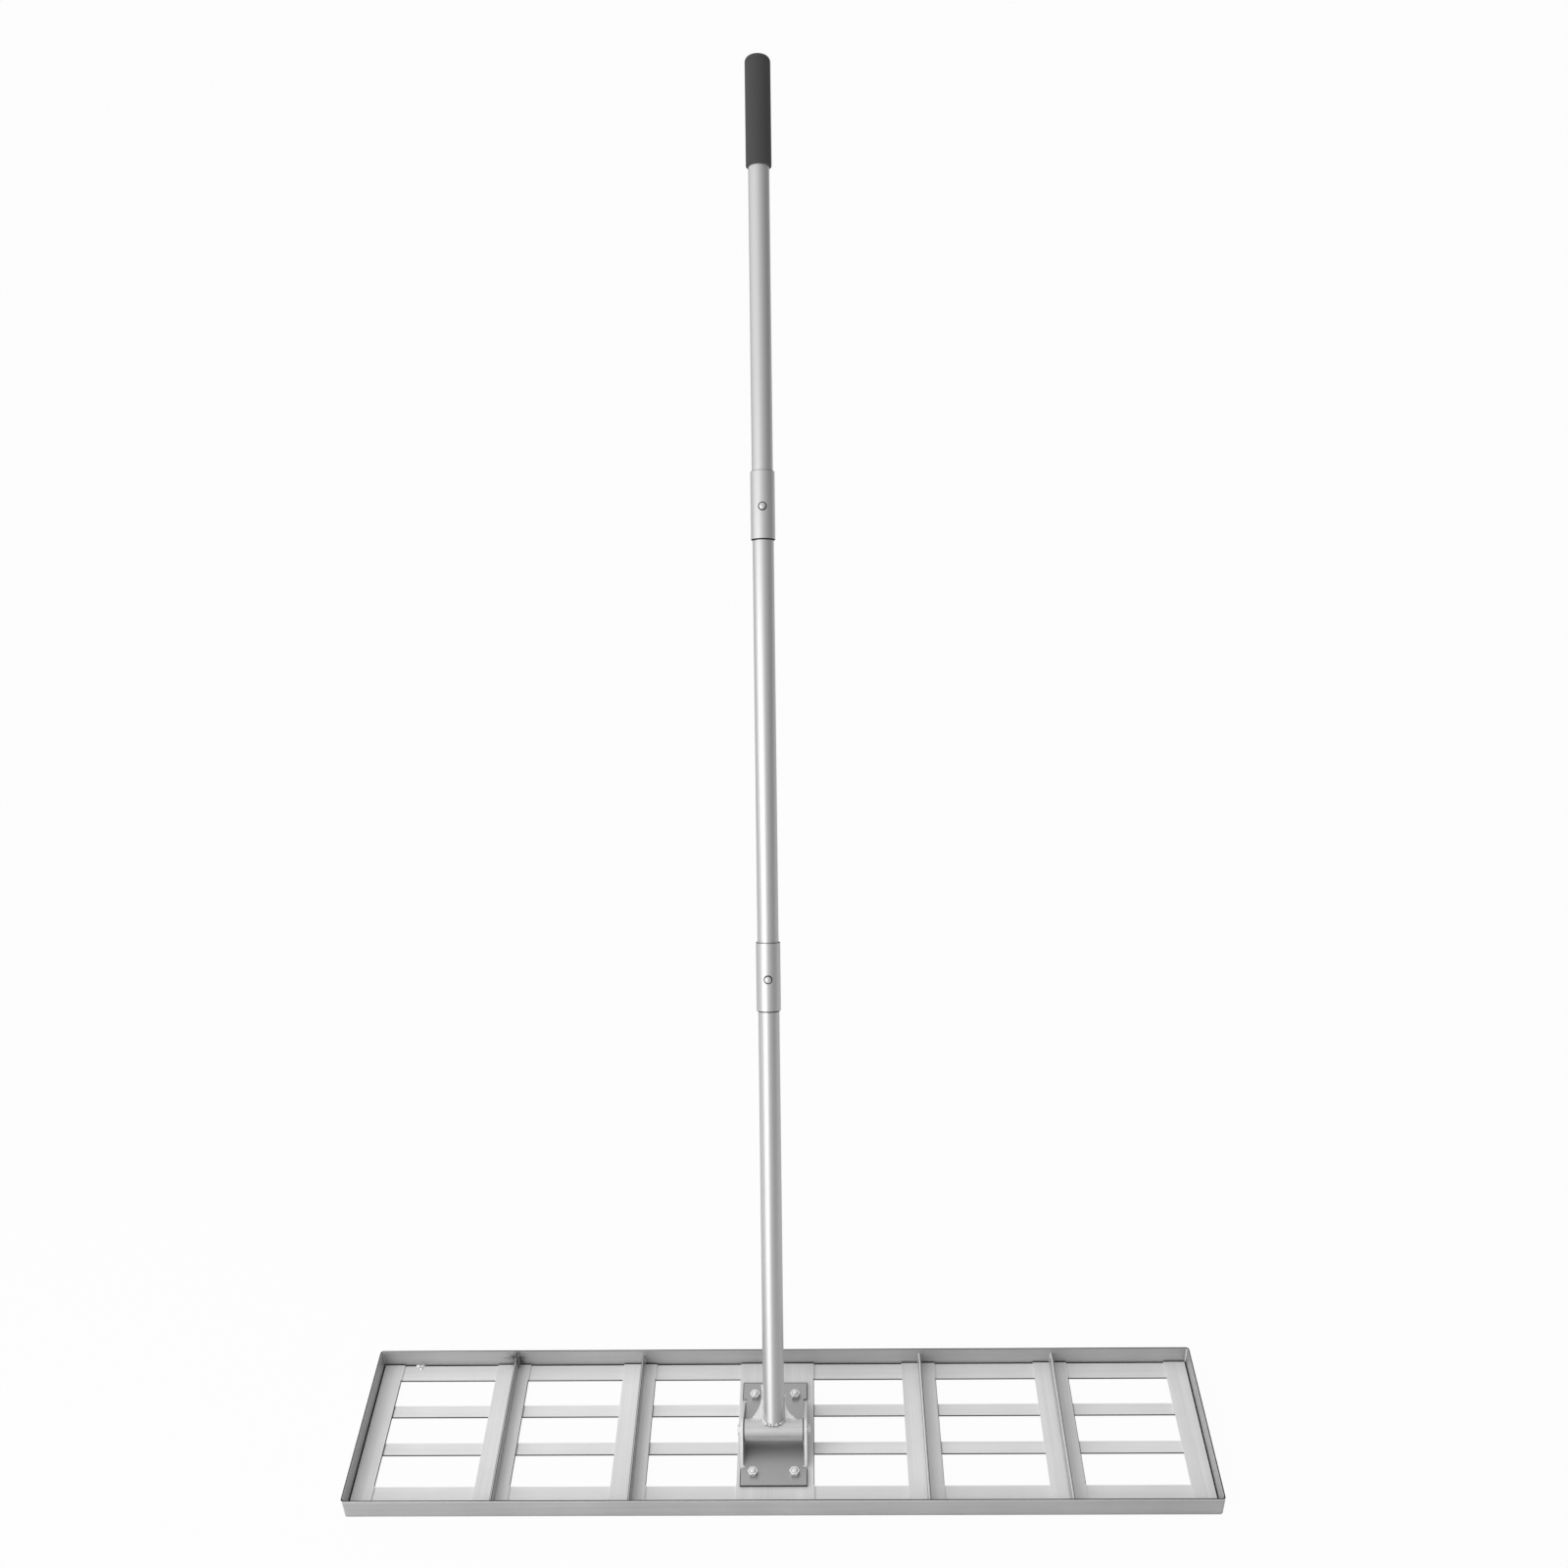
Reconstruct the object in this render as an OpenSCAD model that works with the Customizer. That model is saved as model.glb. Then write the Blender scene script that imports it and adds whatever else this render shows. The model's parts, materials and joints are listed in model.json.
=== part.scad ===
// Lawn leveling rake: a welded steel drag plate with a three-piece handle on a hinge.
// The origin is on the ground straight below the hinge's axis, midway along the plate.
// X runs along the plate, Y from its front rim to its rear rim, and Z is up.
// Sizes are in millimetres.

/* [Drag plate] */
// Length of the plate over its end rims
plate_w = 1219; // [1180:1:1500]
// Depth of the plate over its front and rear rims
plate_d = 254; // [236:1:320]
// Distance of the front rim ahead of the pivot
pivot_to_front = 112; // [106:1:125]
// Height of the rim above the ground
rim_h = 32.5; // [29:0.5:45]
// Thickness of the rims, borders, slats and straps
sheet_t = 2.5; // [2:0.1:3]
// Outer radius of the rim at the four upright corners
corner_r = 5; // [4:0.5:10]
// Width of the front border bar
front_border_w = 41.5; // [32:0.5:48]
// Width of the rear border bar
rear_border_w = 28.5; // [22:0.5:42]
// Width of the left border bar
left_border_w = 31.5; // [22:0.5:58]
// Width of the right border bar
right_border_w = 33.5; // [22:0.5:58]

/* [Slats and straps] */
// Width of the two long slats
slat_w = 19.5; // [12:0.5:22]
// Gap between the front border and the front slat
front_gap = 51.25; // [36:0.25:56]
// Gap between the rear slat and the rear border
rear_gap = 44.75; // [43:0.25:62]
// Width of the four cross straps
strap_w = 50; // [40:1:60]
// Distance of the left outer strap from the left end
left_outer_inset = 201.5; // [170:0.5:230]
// Distance of the left inner strap from the left end
left_inner_inset = 393.5; // [360:0.5:430]
// Distance of the right inner strap from the right end
right_inner_inset = 405.5; // [360:0.5:440]
// Distance of the right outer strap from the right end
right_outer_inset = 207.5; // [170:0.5:230]
// Height of the ribs that stand on the straps
rib_h = 20; // [12:0.5:23]
// Thickness of the ribs
rib_t = 3; // [2:0.5:5]
// Distance of each left rib from its strap's middle line
left_rib_shift = 5; // [-15:0.5:15]
// Distance of each right rib from its strap's middle line
right_rib_shift = 2; // [-15:0.5:15]
// Width of the strap under the hinge
center_strap_w = 110; // [100:1:130]
// Place of the strap under the hinge
center_strap_x = -8.5; // [-20:0.5:20]

/* [Hinge bracket] */
// Place of the bracket and the handle along the plate
hinge_x = -11; // [-20:0.5:20]
// Width of the bracket over its ears
bracket_w = 95; // [88:1:105]
// Thickness of the bracket's sheet
bracket_t = 4; // [3:0.5:5]
// Inner radius of the bends between the base and the ears
bend_r = 2; // [1:0.5:3]
// Distance of the ears from the base's front edge
front_ear_inset = 29; // [22:0.5:38]
// Distance of the ears from the base's rear edge
rear_ear_inset = 31; // [24:0.5:60]
// Radius of the ears round the pivot
ear_r = 17; // [15:0.5:20]
// Width of the relief slots at the ends of the bends
relief_w = 2.5; // [1.5:0.5:4]
// Height of the pivot above the bracket's base
pivot_h = 25; // [19:0.5:35]

/* [Bracket fasteners] */
// Diameter of the bracket bolts
bolt_d = 8; // [6:0.5:9]
// Distance between the left and right bolts
bolt_spacing = 59; // [56:1:62]
// Distance of the front bolts from the front border's inner edge
front_bolt_gap = 16; // [10:0.5:24]
// Distance of the rear bolts from the rear border's inner edge
rear_bolt_gap = 34; // [10:0.5:40]
// Distance of the front bolts from the bracket's front edge
front_bolt_inset = 19; // [17:0.5:20]
// Distance of the rear bolts from the bracket's rear edge
rear_bolt_inset = 23; // [20:0.5:24]
// Diameter of the low bolt heads under the strap
bolt_head_d = 15; // [12:0.5:16]
// Height of the low bolt heads
bolt_head_h = 1.8; // [1.2:0.1:1.9]
// Width of the bracket nuts across their flats
nut_af = 13; // [11:0.5:15]
// Height of the bracket nuts
nut_h = 6.5; // [4:0.5:8]
// How far the bolts stand out of their nuts
bolt_proud = 2; // [0.5:0.5:4]

/* [Pivot] */
// Diameter of the pivot bolt
pivot_bolt_d = 8; // [6:0.5:10]
// Width of the pivot bolt's head and nut across their flats
pivot_af = 13; // [13:0.5:17]
// Height of the pivot bolt's head
pivot_head_h = 4.5; // [3:0.5:6]
// Height of the pivot nut
pivot_nut_h = 5; // [3:0.5:8]
// How far the pivot bolt stands out of its nut
pivot_bolt_proud = 1; // [0.5:0.5:4]
// Outer diameter of the pivot tube
pivot_tube_d = 31; // [31:0.5:34]
// Wall of the pivot tube
pivot_tube_wall = 2.5; // [1.5:0.1:4]
// Thickness of the bush flanges between the tube and the ears
bush_flange = 1.2; // [0.8:0.1:3]
// Depth of the bushes inside the pivot tube
bush_depth = 16; // [8:1:30]

/* [Handle] */
// Lean of the handle behind upright at rest, in degrees
handle_lean = 31.6; // [0:0.1:60]
// Outer diameter of the handle tubes
tube_d = 30.5; // [26:0.5:30.5]
// Wall of the handle tubes
tube_wall = 1; // [0.8:0.1:2]
// Height of the handle's lower end above the pivot
handle_foot = 14; // [4:0.5:15]
// Distance from the pivot to the lower button
lower_button_s = 647; // [500:1:800]
// Distance between the two buttons
button_pitch = 674; // [500:0.5:800]
// Distance from the upper button to the top of the grip
top_reach = 644; // [450:0.5:800]
// Thickness of the gussets
gusset_t = 3; // [2:0.5:5]
// Height of the left gusset above the pivot
left_gusset_h = 64; // [45:1:80]
// Height of the right gusset above the pivot
right_gusset_h = 50; // [45:1:80]
// Reach of the gussets from the handle's middle line
gusset_reach = 30.5; // [26:0.5:36]
// Width of a gusset's tip against the handle
gusset_tip = 2.5; // [1.5:0.5:4]
// Height of a gusset's foot on the pivot tube
gusset_foot = 2.5; // [1.5:0.5:4]
// How deep the gusset's outer edge is hollowed
gusset_hollow = 6; // [3:0.5:8]

/* [Sleeves and buttons] */
// Outer diameter of the joint sleeves
sleeve_d = 35; // [33.5:0.5:40]
// Reach of a sleeve below its button
sleeve_below = 46; // [30:1:80]
// Reach of a sleeve above its button
sleeve_above = 52; // [40:1:80]
// Bevel on the ends of the sleeves
sleeve_bevel = 0.6; // [0.3:0.1:0.9]
// How far a tube goes past its button into the sleeve
insert_past = 20; // [15:1:35]
// Diameter of the snap buttons
button_d = 11; // [7:0.5:11]
// How far a button stands out of its sleeve
button_proud = 3; // [2:0.25:4]
// Radius of a button's dome
button_dome_r = 9; // [7:0.5:14]
// Diameter of the collar that keeps a button in its tube
button_collar_d = 12.5; // [12.5:0.5:14]
// Thickness of that collar
button_collar_t = 1.5; // [1:0.1:2.5]
// Thickness of the leaf springs
leaf_t = 0.8; // [0.5:0.1:1.2]
// Width of the leaf springs
leaf_w = 9; // [6:0.5:10]
// Length of a leaf spring below its button
leaf_below = 46; // [35:1:60]

/* [Grip] */
// Outer diameter of the grip
grip_d = 37; // [34:0.5:44]
// Length of the grip
grip_len = 155.5; // [100:0.5:250]
// Thickness of the grip's closed end
grip_end_t = 5; // [3:0.5:10]
// Radius of the rounded edge at the grip's closed end
grip_end_r = 9; // [2:0.5:11]
// Radius of the rounded edge at the grip's open end
grip_rim_r = 1.5; // [0.5:0.25:2.5]

/* [Clearances] */
// Radial room round the bolts in their holes and nuts
bolt_play = 0.05; // [0.02:0.01:0.1]
// Radial room of the pivot bolt in the bushes
bush_play = 0.08; // [0.03:0.01:0.1]
// Room between the bush flanges and the ears
side_play = 0.3; // [0.2:0.1:1]
// Radial room of a tube in its sleeve, bush or grip
tube_play = 0.08; // [0.02:0.01:0.2]
// Radial room round a button in its tube
button_play = 0.35; // [0.3:0.05:0.8]
// Radial room round a button in its sleeve
sleeve_hole_play = 0.7; // [0.4:0.05:1]
// Room between a button's collar and the tube's wall
collar_play = 0.4; // [0.3:0.1:1]
// Room between a leaf spring's rear leg and the tube's wall
leaf_play = 0.1; // [0.05:0.05:0.3]
// Room between the tube ends inside a sleeve
tube_gap = 0.5; // [0.2:0.1:3]

/* [Hidden] */
$fn = 64;
// Overlap that lets one solid cut clean through another
cut = 1;
// Sides of a nut or bolt head
hex_sides = 6;

half_w = plate_w / 2;
half_d = plate_d / 2;
left_outer_x = left_outer_inset - half_w;
left_inner_x = left_inner_inset - half_w;
right_inner_x = half_w - right_inner_inset;
right_outer_x = half_w - right_outer_inset;
// Middle of the plate, behind the pivot
plate_y = half_d - pivot_to_front;
// Straps and end borders lie on the slats and the long borders
strap_z = sheet_t;
strap_top = 2 * sheet_t;
inner_w = plate_w - 2 * sheet_t;
inner_d = plate_d - 2 * sheet_t;
// Inner edges of the long borders
front_border_y = plate_y - inner_d / 2 + front_border_w;
rear_border_y = plate_y + inner_d / 2 - rear_border_w;
front_slat_y = front_border_y + front_gap + slat_w / 2;
rear_slat_y = rear_border_y - rear_gap - slat_w / 2;

base_top = strap_top + bracket_t;
pivot_z = base_top + pivot_h;
ear_gap = bracket_w - 2 * bracket_t;
front_bolt_y = front_border_y + front_bolt_gap;
rear_bolt_y = rear_border_y - rear_bolt_gap;
bracket_front = front_bolt_inset - front_bolt_y;
bracket_rear = rear_bolt_inset + rear_bolt_y;
ear_front = bracket_front - front_ear_inset;
ear_rear = bracket_rear - rear_ear_inset;
ear_len = ear_front + ear_rear;
ear_mid = (ear_rear - ear_front) / 2;

pivot_tube_r = pivot_tube_d / 2;
pivot_tube_len = ear_gap - 2 * (bush_flange + side_play);

tube_r = tube_d / 2;
tube_bore_r = tube_r - tube_wall;
upper_button_s = lower_button_s + button_pitch;
handle_top = upper_button_s + top_reach;
grip_foot = handle_top - grip_len;
tube_top = handle_top - grip_end_t;

// Depth of the collar's outer face below the handle's front, where its edge clears the wall
collar_out = sqrt(pow(tube_bore_r, 2) - pow(button_collar_d / 2, 2)) - collar_play;
leaf_out = collar_out - button_collar_t;
button_out = sleeve_d / 2 + button_proud;
// Furthest that a flat leaf can lie from the middle line inside a tube
leaf_reach = sqrt(pow(tube_bore_r, 2) - pow(leaf_w / 2, 2)) - leaf_play;

function unit(v) = v / norm(v);
function left_of(v) = [-v[1], v[0]];

// Point that lies off to the left of a path's point i, with the corners mitred
function beside(path, i, off) =
    let (a = unit(path[min(i + 1, len(path) - 1)] - path[min(i, len(path) - 2)]))
    let (b = unit(path[max(i, 1)] - path[max(i - 1, 0)]))
    let (m = unit(left_of(a) + left_of(b)))
    path[i] + m * off / (m * left_of(a));

// Strip of even thickness along a path
module strip(path, t) {
    last = len(path) - 1;
    polygon(concat(
        [for (i = [0 : last]) beside(path, i, t / 2)],
        [for (i = [last : -1 : 0]) beside(path, i, -t / 2)]));
}

// Flat rectangle with round corners, centred on the origin
module round_rect(w, d, r) {
    square([w - 2 * r, d], center = true);
    square([w, d - 2 * r], center = true);
    for (x = [-1, 1], y = [-1, 1])
        translate([x * (w / 2 - r), y * (d / 2 - r)])
            circle(r);
}

// Long rim on edge with its two round corners, front with side -1 and rear with side 1
module long_rim(side) {
    color("silver")
        translate([0, plate_y, 0])
            linear_extrude(rim_h)
                intersection() {
                    difference() {
                        round_rect(plate_w, plate_d, corner_r);
                        round_rect(inner_w, inner_d, corner_r - sheet_t);
                    }
                    translate([0, side * (half_d - corner_r / 2)])
                        square([plate_w + 2 * cut, corner_r], center = true);
                }
}

// End rim on edge between the long rims' corners, left with side -1 and right with side 1
module end_rim(side) {
    color("silver")
        translate([side * (half_w - sheet_t / 2), plate_y, rim_h / 2])
            cube([sheet_t, plate_d - 2 * corner_r, rim_h], center = true);
}

// Flat sheet that fills the rim, with corners cut round enough to clear it
module inside_rim() {
    round_rect(inner_w, inner_d, corner_r);
}

// Border bar on the ground along a long rim, front with side -1 and rear with side 1
module long_border(side, w) {
    color("silver")
        translate([0, plate_y, 0])
            linear_extrude(sheet_t)
                intersection() {
                    inside_rim();
                    translate([0, side * (inner_d - w) / 2])
                        square([plate_w, w], center = true);
                }
}

// Border bar along an end rim, lapped onto the long borders and the slats
module end_border(side, w) {
    color("silver")
        translate([0, plate_y, strap_z])
            linear_extrude(sheet_t)
                intersection() {
                    inside_rim();
                    translate([side * (inner_w - w) / 2, 0])
                        square([w, plate_d], center = true);
                }
}

// Long slat on the ground, from end rim to end rim
module slat(y) {
    color("gainsboro")
        translate([0, y, sheet_t / 2])
            cube([inner_w, slat_w, sheet_t], center = true);
}

// Strap across the plate, on the slats and the long borders
module cross_strap(x, w) {
    translate([x, plate_y, strap_z + sheet_t / 2])
        cube([w, inner_d, sheet_t], center = true);
}

// Rib on edge along a strap, from rim to rim
module rib(x) {
    color("whitesmoke")
        translate([x, plate_y, strap_top + rib_h / 2])
            cube([rib_t, inner_d, rib_h], center = true);
}

// Places of the four bracket bolts
module at_bolts() {
    for (x = [-1, 1], y = [front_bolt_y, rear_bolt_y])
        translate([hinge_x + x * bolt_spacing / 2, y, 0])
            children();
}

module center_strap() {
    color("silver")
        difference() {
            cross_strap(center_strap_x, center_strap_w);
            at_bolts()
                cylinder(r = bolt_d / 2 + bolt_play, h = base_top);
        }
}

// Side view of an ear: a foot on the base that narrows to a round top about the pivot
module ear_outline() {
    foot_z = strap_top + bracket_t / 2;
    pivot = [0, pivot_z];
    front = [-ear_front, foot_z];
    rear = [ear_rear, foot_z];
    union() {
        translate(pivot)
            circle(ear_r);
        polygon([front, touch(front, pivot, 1), pivot, touch(rear, pivot, -1), rear]);
    }
}

// Point where a line from p touches the ear's round top, with the line turned by way
function touch(p, c, way) =
    let (v = p - c)
    let (a = atan2(v[1], v[0]) - way * acos(ear_r / norm(v)))
    c + ear_r * [cos(a), sin(a)];

// One ear with the inner curve of its bend, left with side -1 and right with side 1
module ear(side) {
    inner_x = bracket_w / 2 - bracket_t;
    wide = bracket_t + bend_r;
    difference() {
        intersection() {
            translate([side > 0 ? inner_x - bend_r : -inner_x - bracket_t, 0, 0])
                rotate([90, 0, 90])
                    linear_extrude(wide)
                        ear_outline();
            union() {
                translate([side * (inner_x + bracket_t / 2), ear_mid, pivot_z])
                    cube([bracket_t, ear_len, 2 * pivot_z], center = true);
                translate([side * inner_x, ear_mid, base_top])
                    difference() {
                        cube([2 * bend_r, ear_len, 2 * bend_r], center = true);
                        translate([-side * bend_r, 0, bend_r])
                            rotate([90, 0, 0])
                                cylinder(r = bend_r, h = ear_len + cut, center = true);
                    }
            }
        }
        pivot_hole();
    }
}

module pivot_hole() {
    translate([0, 0, pivot_z])
        rotate([0, 90, 0])
            cylinder(r = pivot_bolt_d / 2 + bolt_play, h = bracket_w + 2 * cut, center = true);
}

// Outer curve of a bend, taken off the base's lower edge along an ear
module bend_corner(side) {
    outer_r = bend_r + bracket_t;
    translate([side * (bracket_w / 2 - outer_r), ear_mid, strap_top + outer_r])
        difference() {
            translate([side * outer_r, 0, -outer_r])
                cube([2 * outer_r, ear_len, 2 * outer_r], center = true);
            rotate([90, 0, 0])
                cylinder(r = outer_r, h = ear_len + cut, center = true);
        }
}

// Base and two ears, bent from one sheet
module hinge_bracket() {
    relief = bracket_t + bend_r;
    color("darkgray")
        translate([hinge_x, 0, 0])
            difference() {
                union() {
                    translate([-bracket_w / 2, -bracket_front, strap_top])
                        cube([bracket_w, bracket_front + bracket_rear, bracket_t]);
                    for (side = [-1, 1])
                        ear(side);
                }
                for (side = [-1, 1]) {
                    bend_corner(side);
                    for (y = [-ear_front - relief_w / 2, ear_rear + relief_w / 2])
                        translate([side * bracket_w / 2, y, base_top])
                            cube([2 * relief, relief_w, 2 * relief], center = true);
                }
                translate([-hinge_x, 0, 0])
                    at_bolts()
                        cylinder(r = bolt_d / 2 + bolt_play, h = base_top + cut);
            }
}

// Low-headed bolts, pushed up through the strap and the base
module bracket_bolts() {
    color("lightgray")
        at_bolts() {
            translate([0, 0, strap_z - bolt_head_h])
                cylinder(d = bolt_head_d, h = bolt_head_h);
            translate([0, 0, strap_z - bolt_head_h])
                cylinder(d = bolt_d, h = bolt_head_h + sheet_t + bracket_t + nut_h + bolt_proud);
        }
}

// Six-sided nut with a plain bore
module hex_nut(af, h, bore_d) {
    difference() {
        cylinder(d = af / cos(180 / hex_sides), h = h, $fn = hex_sides);
        translate([0, 0, -cut])
            cylinder(r = bore_d / 2 + bolt_play, h = h + 2 * cut);
    }
}

module bracket_nuts() {
    color("lightgray")
        at_bolts()
            translate([0, 0, base_top])
                hex_nut(nut_af, nut_h, bolt_d);
}

// Moves what follows to the pivot, with its Z along the pivot bolt towards the right
module on_pivot() {
    translate([hinge_x, 0, pivot_z])
        rotate([0, 90, 0])
            children();
}

module pivot_bolt() {
    shank = bracket_w + pivot_nut_h + pivot_bolt_proud;
    color("lightgray")
        on_pivot()
            translate([0, 0, -bracket_w / 2]) {
                cylinder(d = pivot_bolt_d, h = shank);
                translate([0, 0, -pivot_head_h])
                    cylinder(d = pivot_af / cos(180 / hex_sides), h = pivot_head_h, $fn = hex_sides);
            }
}

module pivot_nut() {
    color("lightgray")
        on_pivot()
            translate([0, 0, bracket_w / 2])
                hex_nut(pivot_af, pivot_nut_h, pivot_bolt_d);
}

// Moves what follows to the pivot, with its Z up along the leaning handle
module on_handle() {
    translate([hinge_x, 0, pivot_z])
        rotate([-handle_lean, 0, 0])
            children();
}

// Solid bar along the pivot, as thick as the pivot tube
module pivot_bar(len) {
    rotate([0, 90, 0])
        cylinder(r = pivot_tube_r, h = len, center = true);
}

module pivot_tube() {
    color("silver")
        on_handle()
            difference() {
                pivot_bar(pivot_tube_len);
                rotate([0, 90, 0])
                    cylinder(r = pivot_tube_r - pivot_tube_wall, h = pivot_tube_len + 2 * cut, center = true);
            }
}

// Flanged bush in an end of the pivot tube, left with side -1 and right with side 1
module pivot_bush(side) {
    color("dimgray")
        on_handle()
            rotate([0, side * 90, 0])
                translate([0, 0, pivot_tube_len / 2])
                    difference() {
                        union() {
                            cylinder(r = pivot_tube_r, h = bush_flange);
                            translate([0, 0, -bush_depth])
                                cylinder(r = pivot_tube_r - pivot_tube_wall - tube_play, h = bush_depth);
                        }
                        translate([0, 0, -bush_depth - cut])
                            cylinder(r = pivot_bolt_d / 2 + bush_play, h = bush_depth + bush_flange + 2 * cut);
                    }
}

// Plain length of handle tube between two places along the handle
module tube(from, to) {
    translate([0, 0, from])
        difference() {
            cylinder(r = tube_r, h = to - from);
            translate([0, 0, -cut])
                cylinder(r = tube_bore_r, h = to - from + 2 * cut);
        }
}

// Round hole for a button in the handle's front
module button_hole(s, play) {
    translate([0, 0, s])
        rotate([90, 0, 0])
            cylinder(r = button_d / 2 + play, h = sleeve_d);
}

// Tube from the pivot to the lower sleeve, with its foot cut to sit on the pivot tube
module lower_tube() {
    color("silver")
        on_handle()
            difference() {
                tube(handle_foot, lower_button_s + insert_past);
                pivot_bar(2 * tube_d);
                button_hole(lower_button_s, button_play);
            }
}

module middle_tube() {
    color("silver")
        on_handle()
            difference() {
                tube(lower_button_s + insert_past + tube_gap, upper_button_s + insert_past);
                button_hole(upper_button_s, button_play);
            }
}

module upper_tube() {
    color("silver")
        on_handle()
            tube(upper_button_s + insert_past + tube_gap, tube_top);
}

// Fin between the handle and the pivot tube, left with side -1 and right with side 1
module gusset(side, h) {
    foot = [gusset_reach, pivot_tube_r + gusset_foot];
    tip = [tube_r + gusset_tip, h];
    chord = tip - foot;
    hollow_r = pow(norm(chord), 2) / (8 * gusset_hollow) + gusset_hollow / 2;
    hollow_c = (foot + tip) / 2 - left_of(unit(chord)) * (hollow_r - gusset_hollow);
    color("silver")
        on_handle()
            rotate([0, 0, side > 0 ? 0 : 180])
                difference() {
                    rotate([90, 0, 0])
                        linear_extrude(gusset_t, center = true)
                            difference() {
                                polygon([[0, 0], [foot[0], 0], foot, tip, [0, h]]);
                                translate(hollow_c)
                                    circle(hollow_r);
                            }
                    pivot_bar(2 * pivot_tube_len);
                    translate([0, 0, -cut])
                        cylinder(r = tube_r, h = h + 2 * cut);
                }
}

// Sleeve round a joint of the handle, with its button hole
module sleeve(s) {
    r = sleeve_d / 2;
    bore_r = tube_r + tube_play;
    len = sleeve_below + sleeve_above;
    b = sleeve_bevel;
    color("silver")
        on_handle()
            difference() {
                translate([0, 0, s - sleeve_below])
                    rotate_extrude()
                        polygon([[bore_r, 0], [r - b, 0], [r, b], [r, len - b], [r - b, len], [bore_r, len]]);
                button_hole(s, sleeve_hole_play);
            }
}

// Bent leaf spring inside a tube: its front leg carries a button, its rear leg meets the wall
module button_spring(s) {
    front = leaf_t / 2 - leaf_out;
    rear = leaf_reach - leaf_t / 2;
    pad = button_d / 2 + leaf_t;
    bend = 2 * leaf_t;
    color("gray")
        on_handle()
            translate([0, 0, s])
                rotate([90, 0, 90])
                    linear_extrude(leaf_w, center = true)
                        strip([[front, pad], [front, -pad], [-bend, bend - leaf_below], [-bend / 2, -leaf_below],
                            [bend / 2, -leaf_below], [bend, bend - leaf_below], [rear, -pad], [rear, pad]], leaf_t);
}

// Snap button with a domed end and the collar that keeps it in its tube
module snap_button(s) {
    color("lightgray")
        on_handle()
            translate([0, 0, s])
                rotate([90, 0, 0]) {
                    translate([0, 0, leaf_out])
                        cylinder(d = button_collar_d, h = button_collar_t);
                    intersection() {
                        translate([0, 0, leaf_out])
                            cylinder(d = button_d, h = button_out - leaf_out);
                        translate([0, 0, button_out - button_dome_r])
                            sphere(button_dome_r);
                    }
                }
}

// Soft grip with a closed, rounded end
module grip() {
    r = grip_d / 2;
    bore_r = tube_r + tube_play;
    color("#4a4a4c")
        on_handle()
            rotate_extrude()
                difference() {
                    union() {
                        translate([0, grip_foot + grip_rim_r])
                            square([r, grip_len - grip_rim_r - grip_end_r]);
                        translate([0, grip_foot])
                            square([r - grip_rim_r, grip_len]);
                        translate([r - grip_rim_r, grip_foot + grip_rim_r])
                            circle(grip_rim_r);
                        translate([0, handle_top - grip_end_r])
                            square([r - grip_end_r, grip_end_r]);
                        translate([r - grip_end_r, handle_top - grip_end_r])
                            circle(grip_end_r);
                    }
                    translate([-cut, grip_foot - cut])
                        square([bore_r + cut, tube_top - grip_foot + cut]);
                }
}

long_rim(-1);  // front_rim
long_rim(1);  // rear_rim
end_rim(-1);  // left_rim
end_rim(1);  // right_rim
long_border(-1, front_border_w);  // front_border
long_border(1, rear_border_w);  // rear_border
end_border(-1, left_border_w);  // left_border
end_border(1, right_border_w);  // right_border
slat(front_slat_y);  // front_slat
slat(rear_slat_y);  // rear_slat
color("gainsboro") cross_strap(left_outer_x, strap_w);  // left_outer_strap
color("gainsboro") cross_strap(left_inner_x, strap_w);  // left_inner_strap
color("gainsboro") cross_strap(right_inner_x, strap_w);  // right_inner_strap
color("gainsboro") cross_strap(right_outer_x, strap_w);  // right_outer_strap
center_strap();
rib(left_outer_x + left_rib_shift);  // left_outer_rib
rib(left_inner_x + left_rib_shift);  // left_inner_rib
rib(right_inner_x + right_rib_shift);  // right_inner_rib
rib(right_outer_x + right_rib_shift);  // right_outer_rib
hinge_bracket();
bracket_bolts();
bracket_nuts();
pivot_bolt();
pivot_nut();
pivot_tube();
pivot_bush(-1);  // left_pivot_bush
pivot_bush(1);  // right_pivot_bush
lower_tube();
gusset(-1, left_gusset_h);  // left_gusset
gusset(1, right_gusset_h);  // right_gusset
sleeve(lower_button_s);  // lower_sleeve
middle_tube();
sleeve(upper_button_s);  // upper_sleeve
upper_tube();
grip();
button_spring(lower_button_s);  // lower_button_spring
button_spring(upper_button_s);  // upper_button_spring
snap_button(lower_button_s);  // lower_snap_button
snap_button(upper_button_s);  // upper_snap_button
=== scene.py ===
"""Looks of a lawn leveling rake: a welded steel drag plate with a three-piece tube handle on a hinge.

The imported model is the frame, in metres: X runs along the plate, Y from its front rim to its rear rim, and Z
is up. Each piece takes its place from the box of the node that it stands for.
"""
import json
import math

import bmesh
import bpy
from bpy.props import FloatProperty, FloatVectorProperty, PointerProperty
from mathutils import Matrix, Vector


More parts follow.
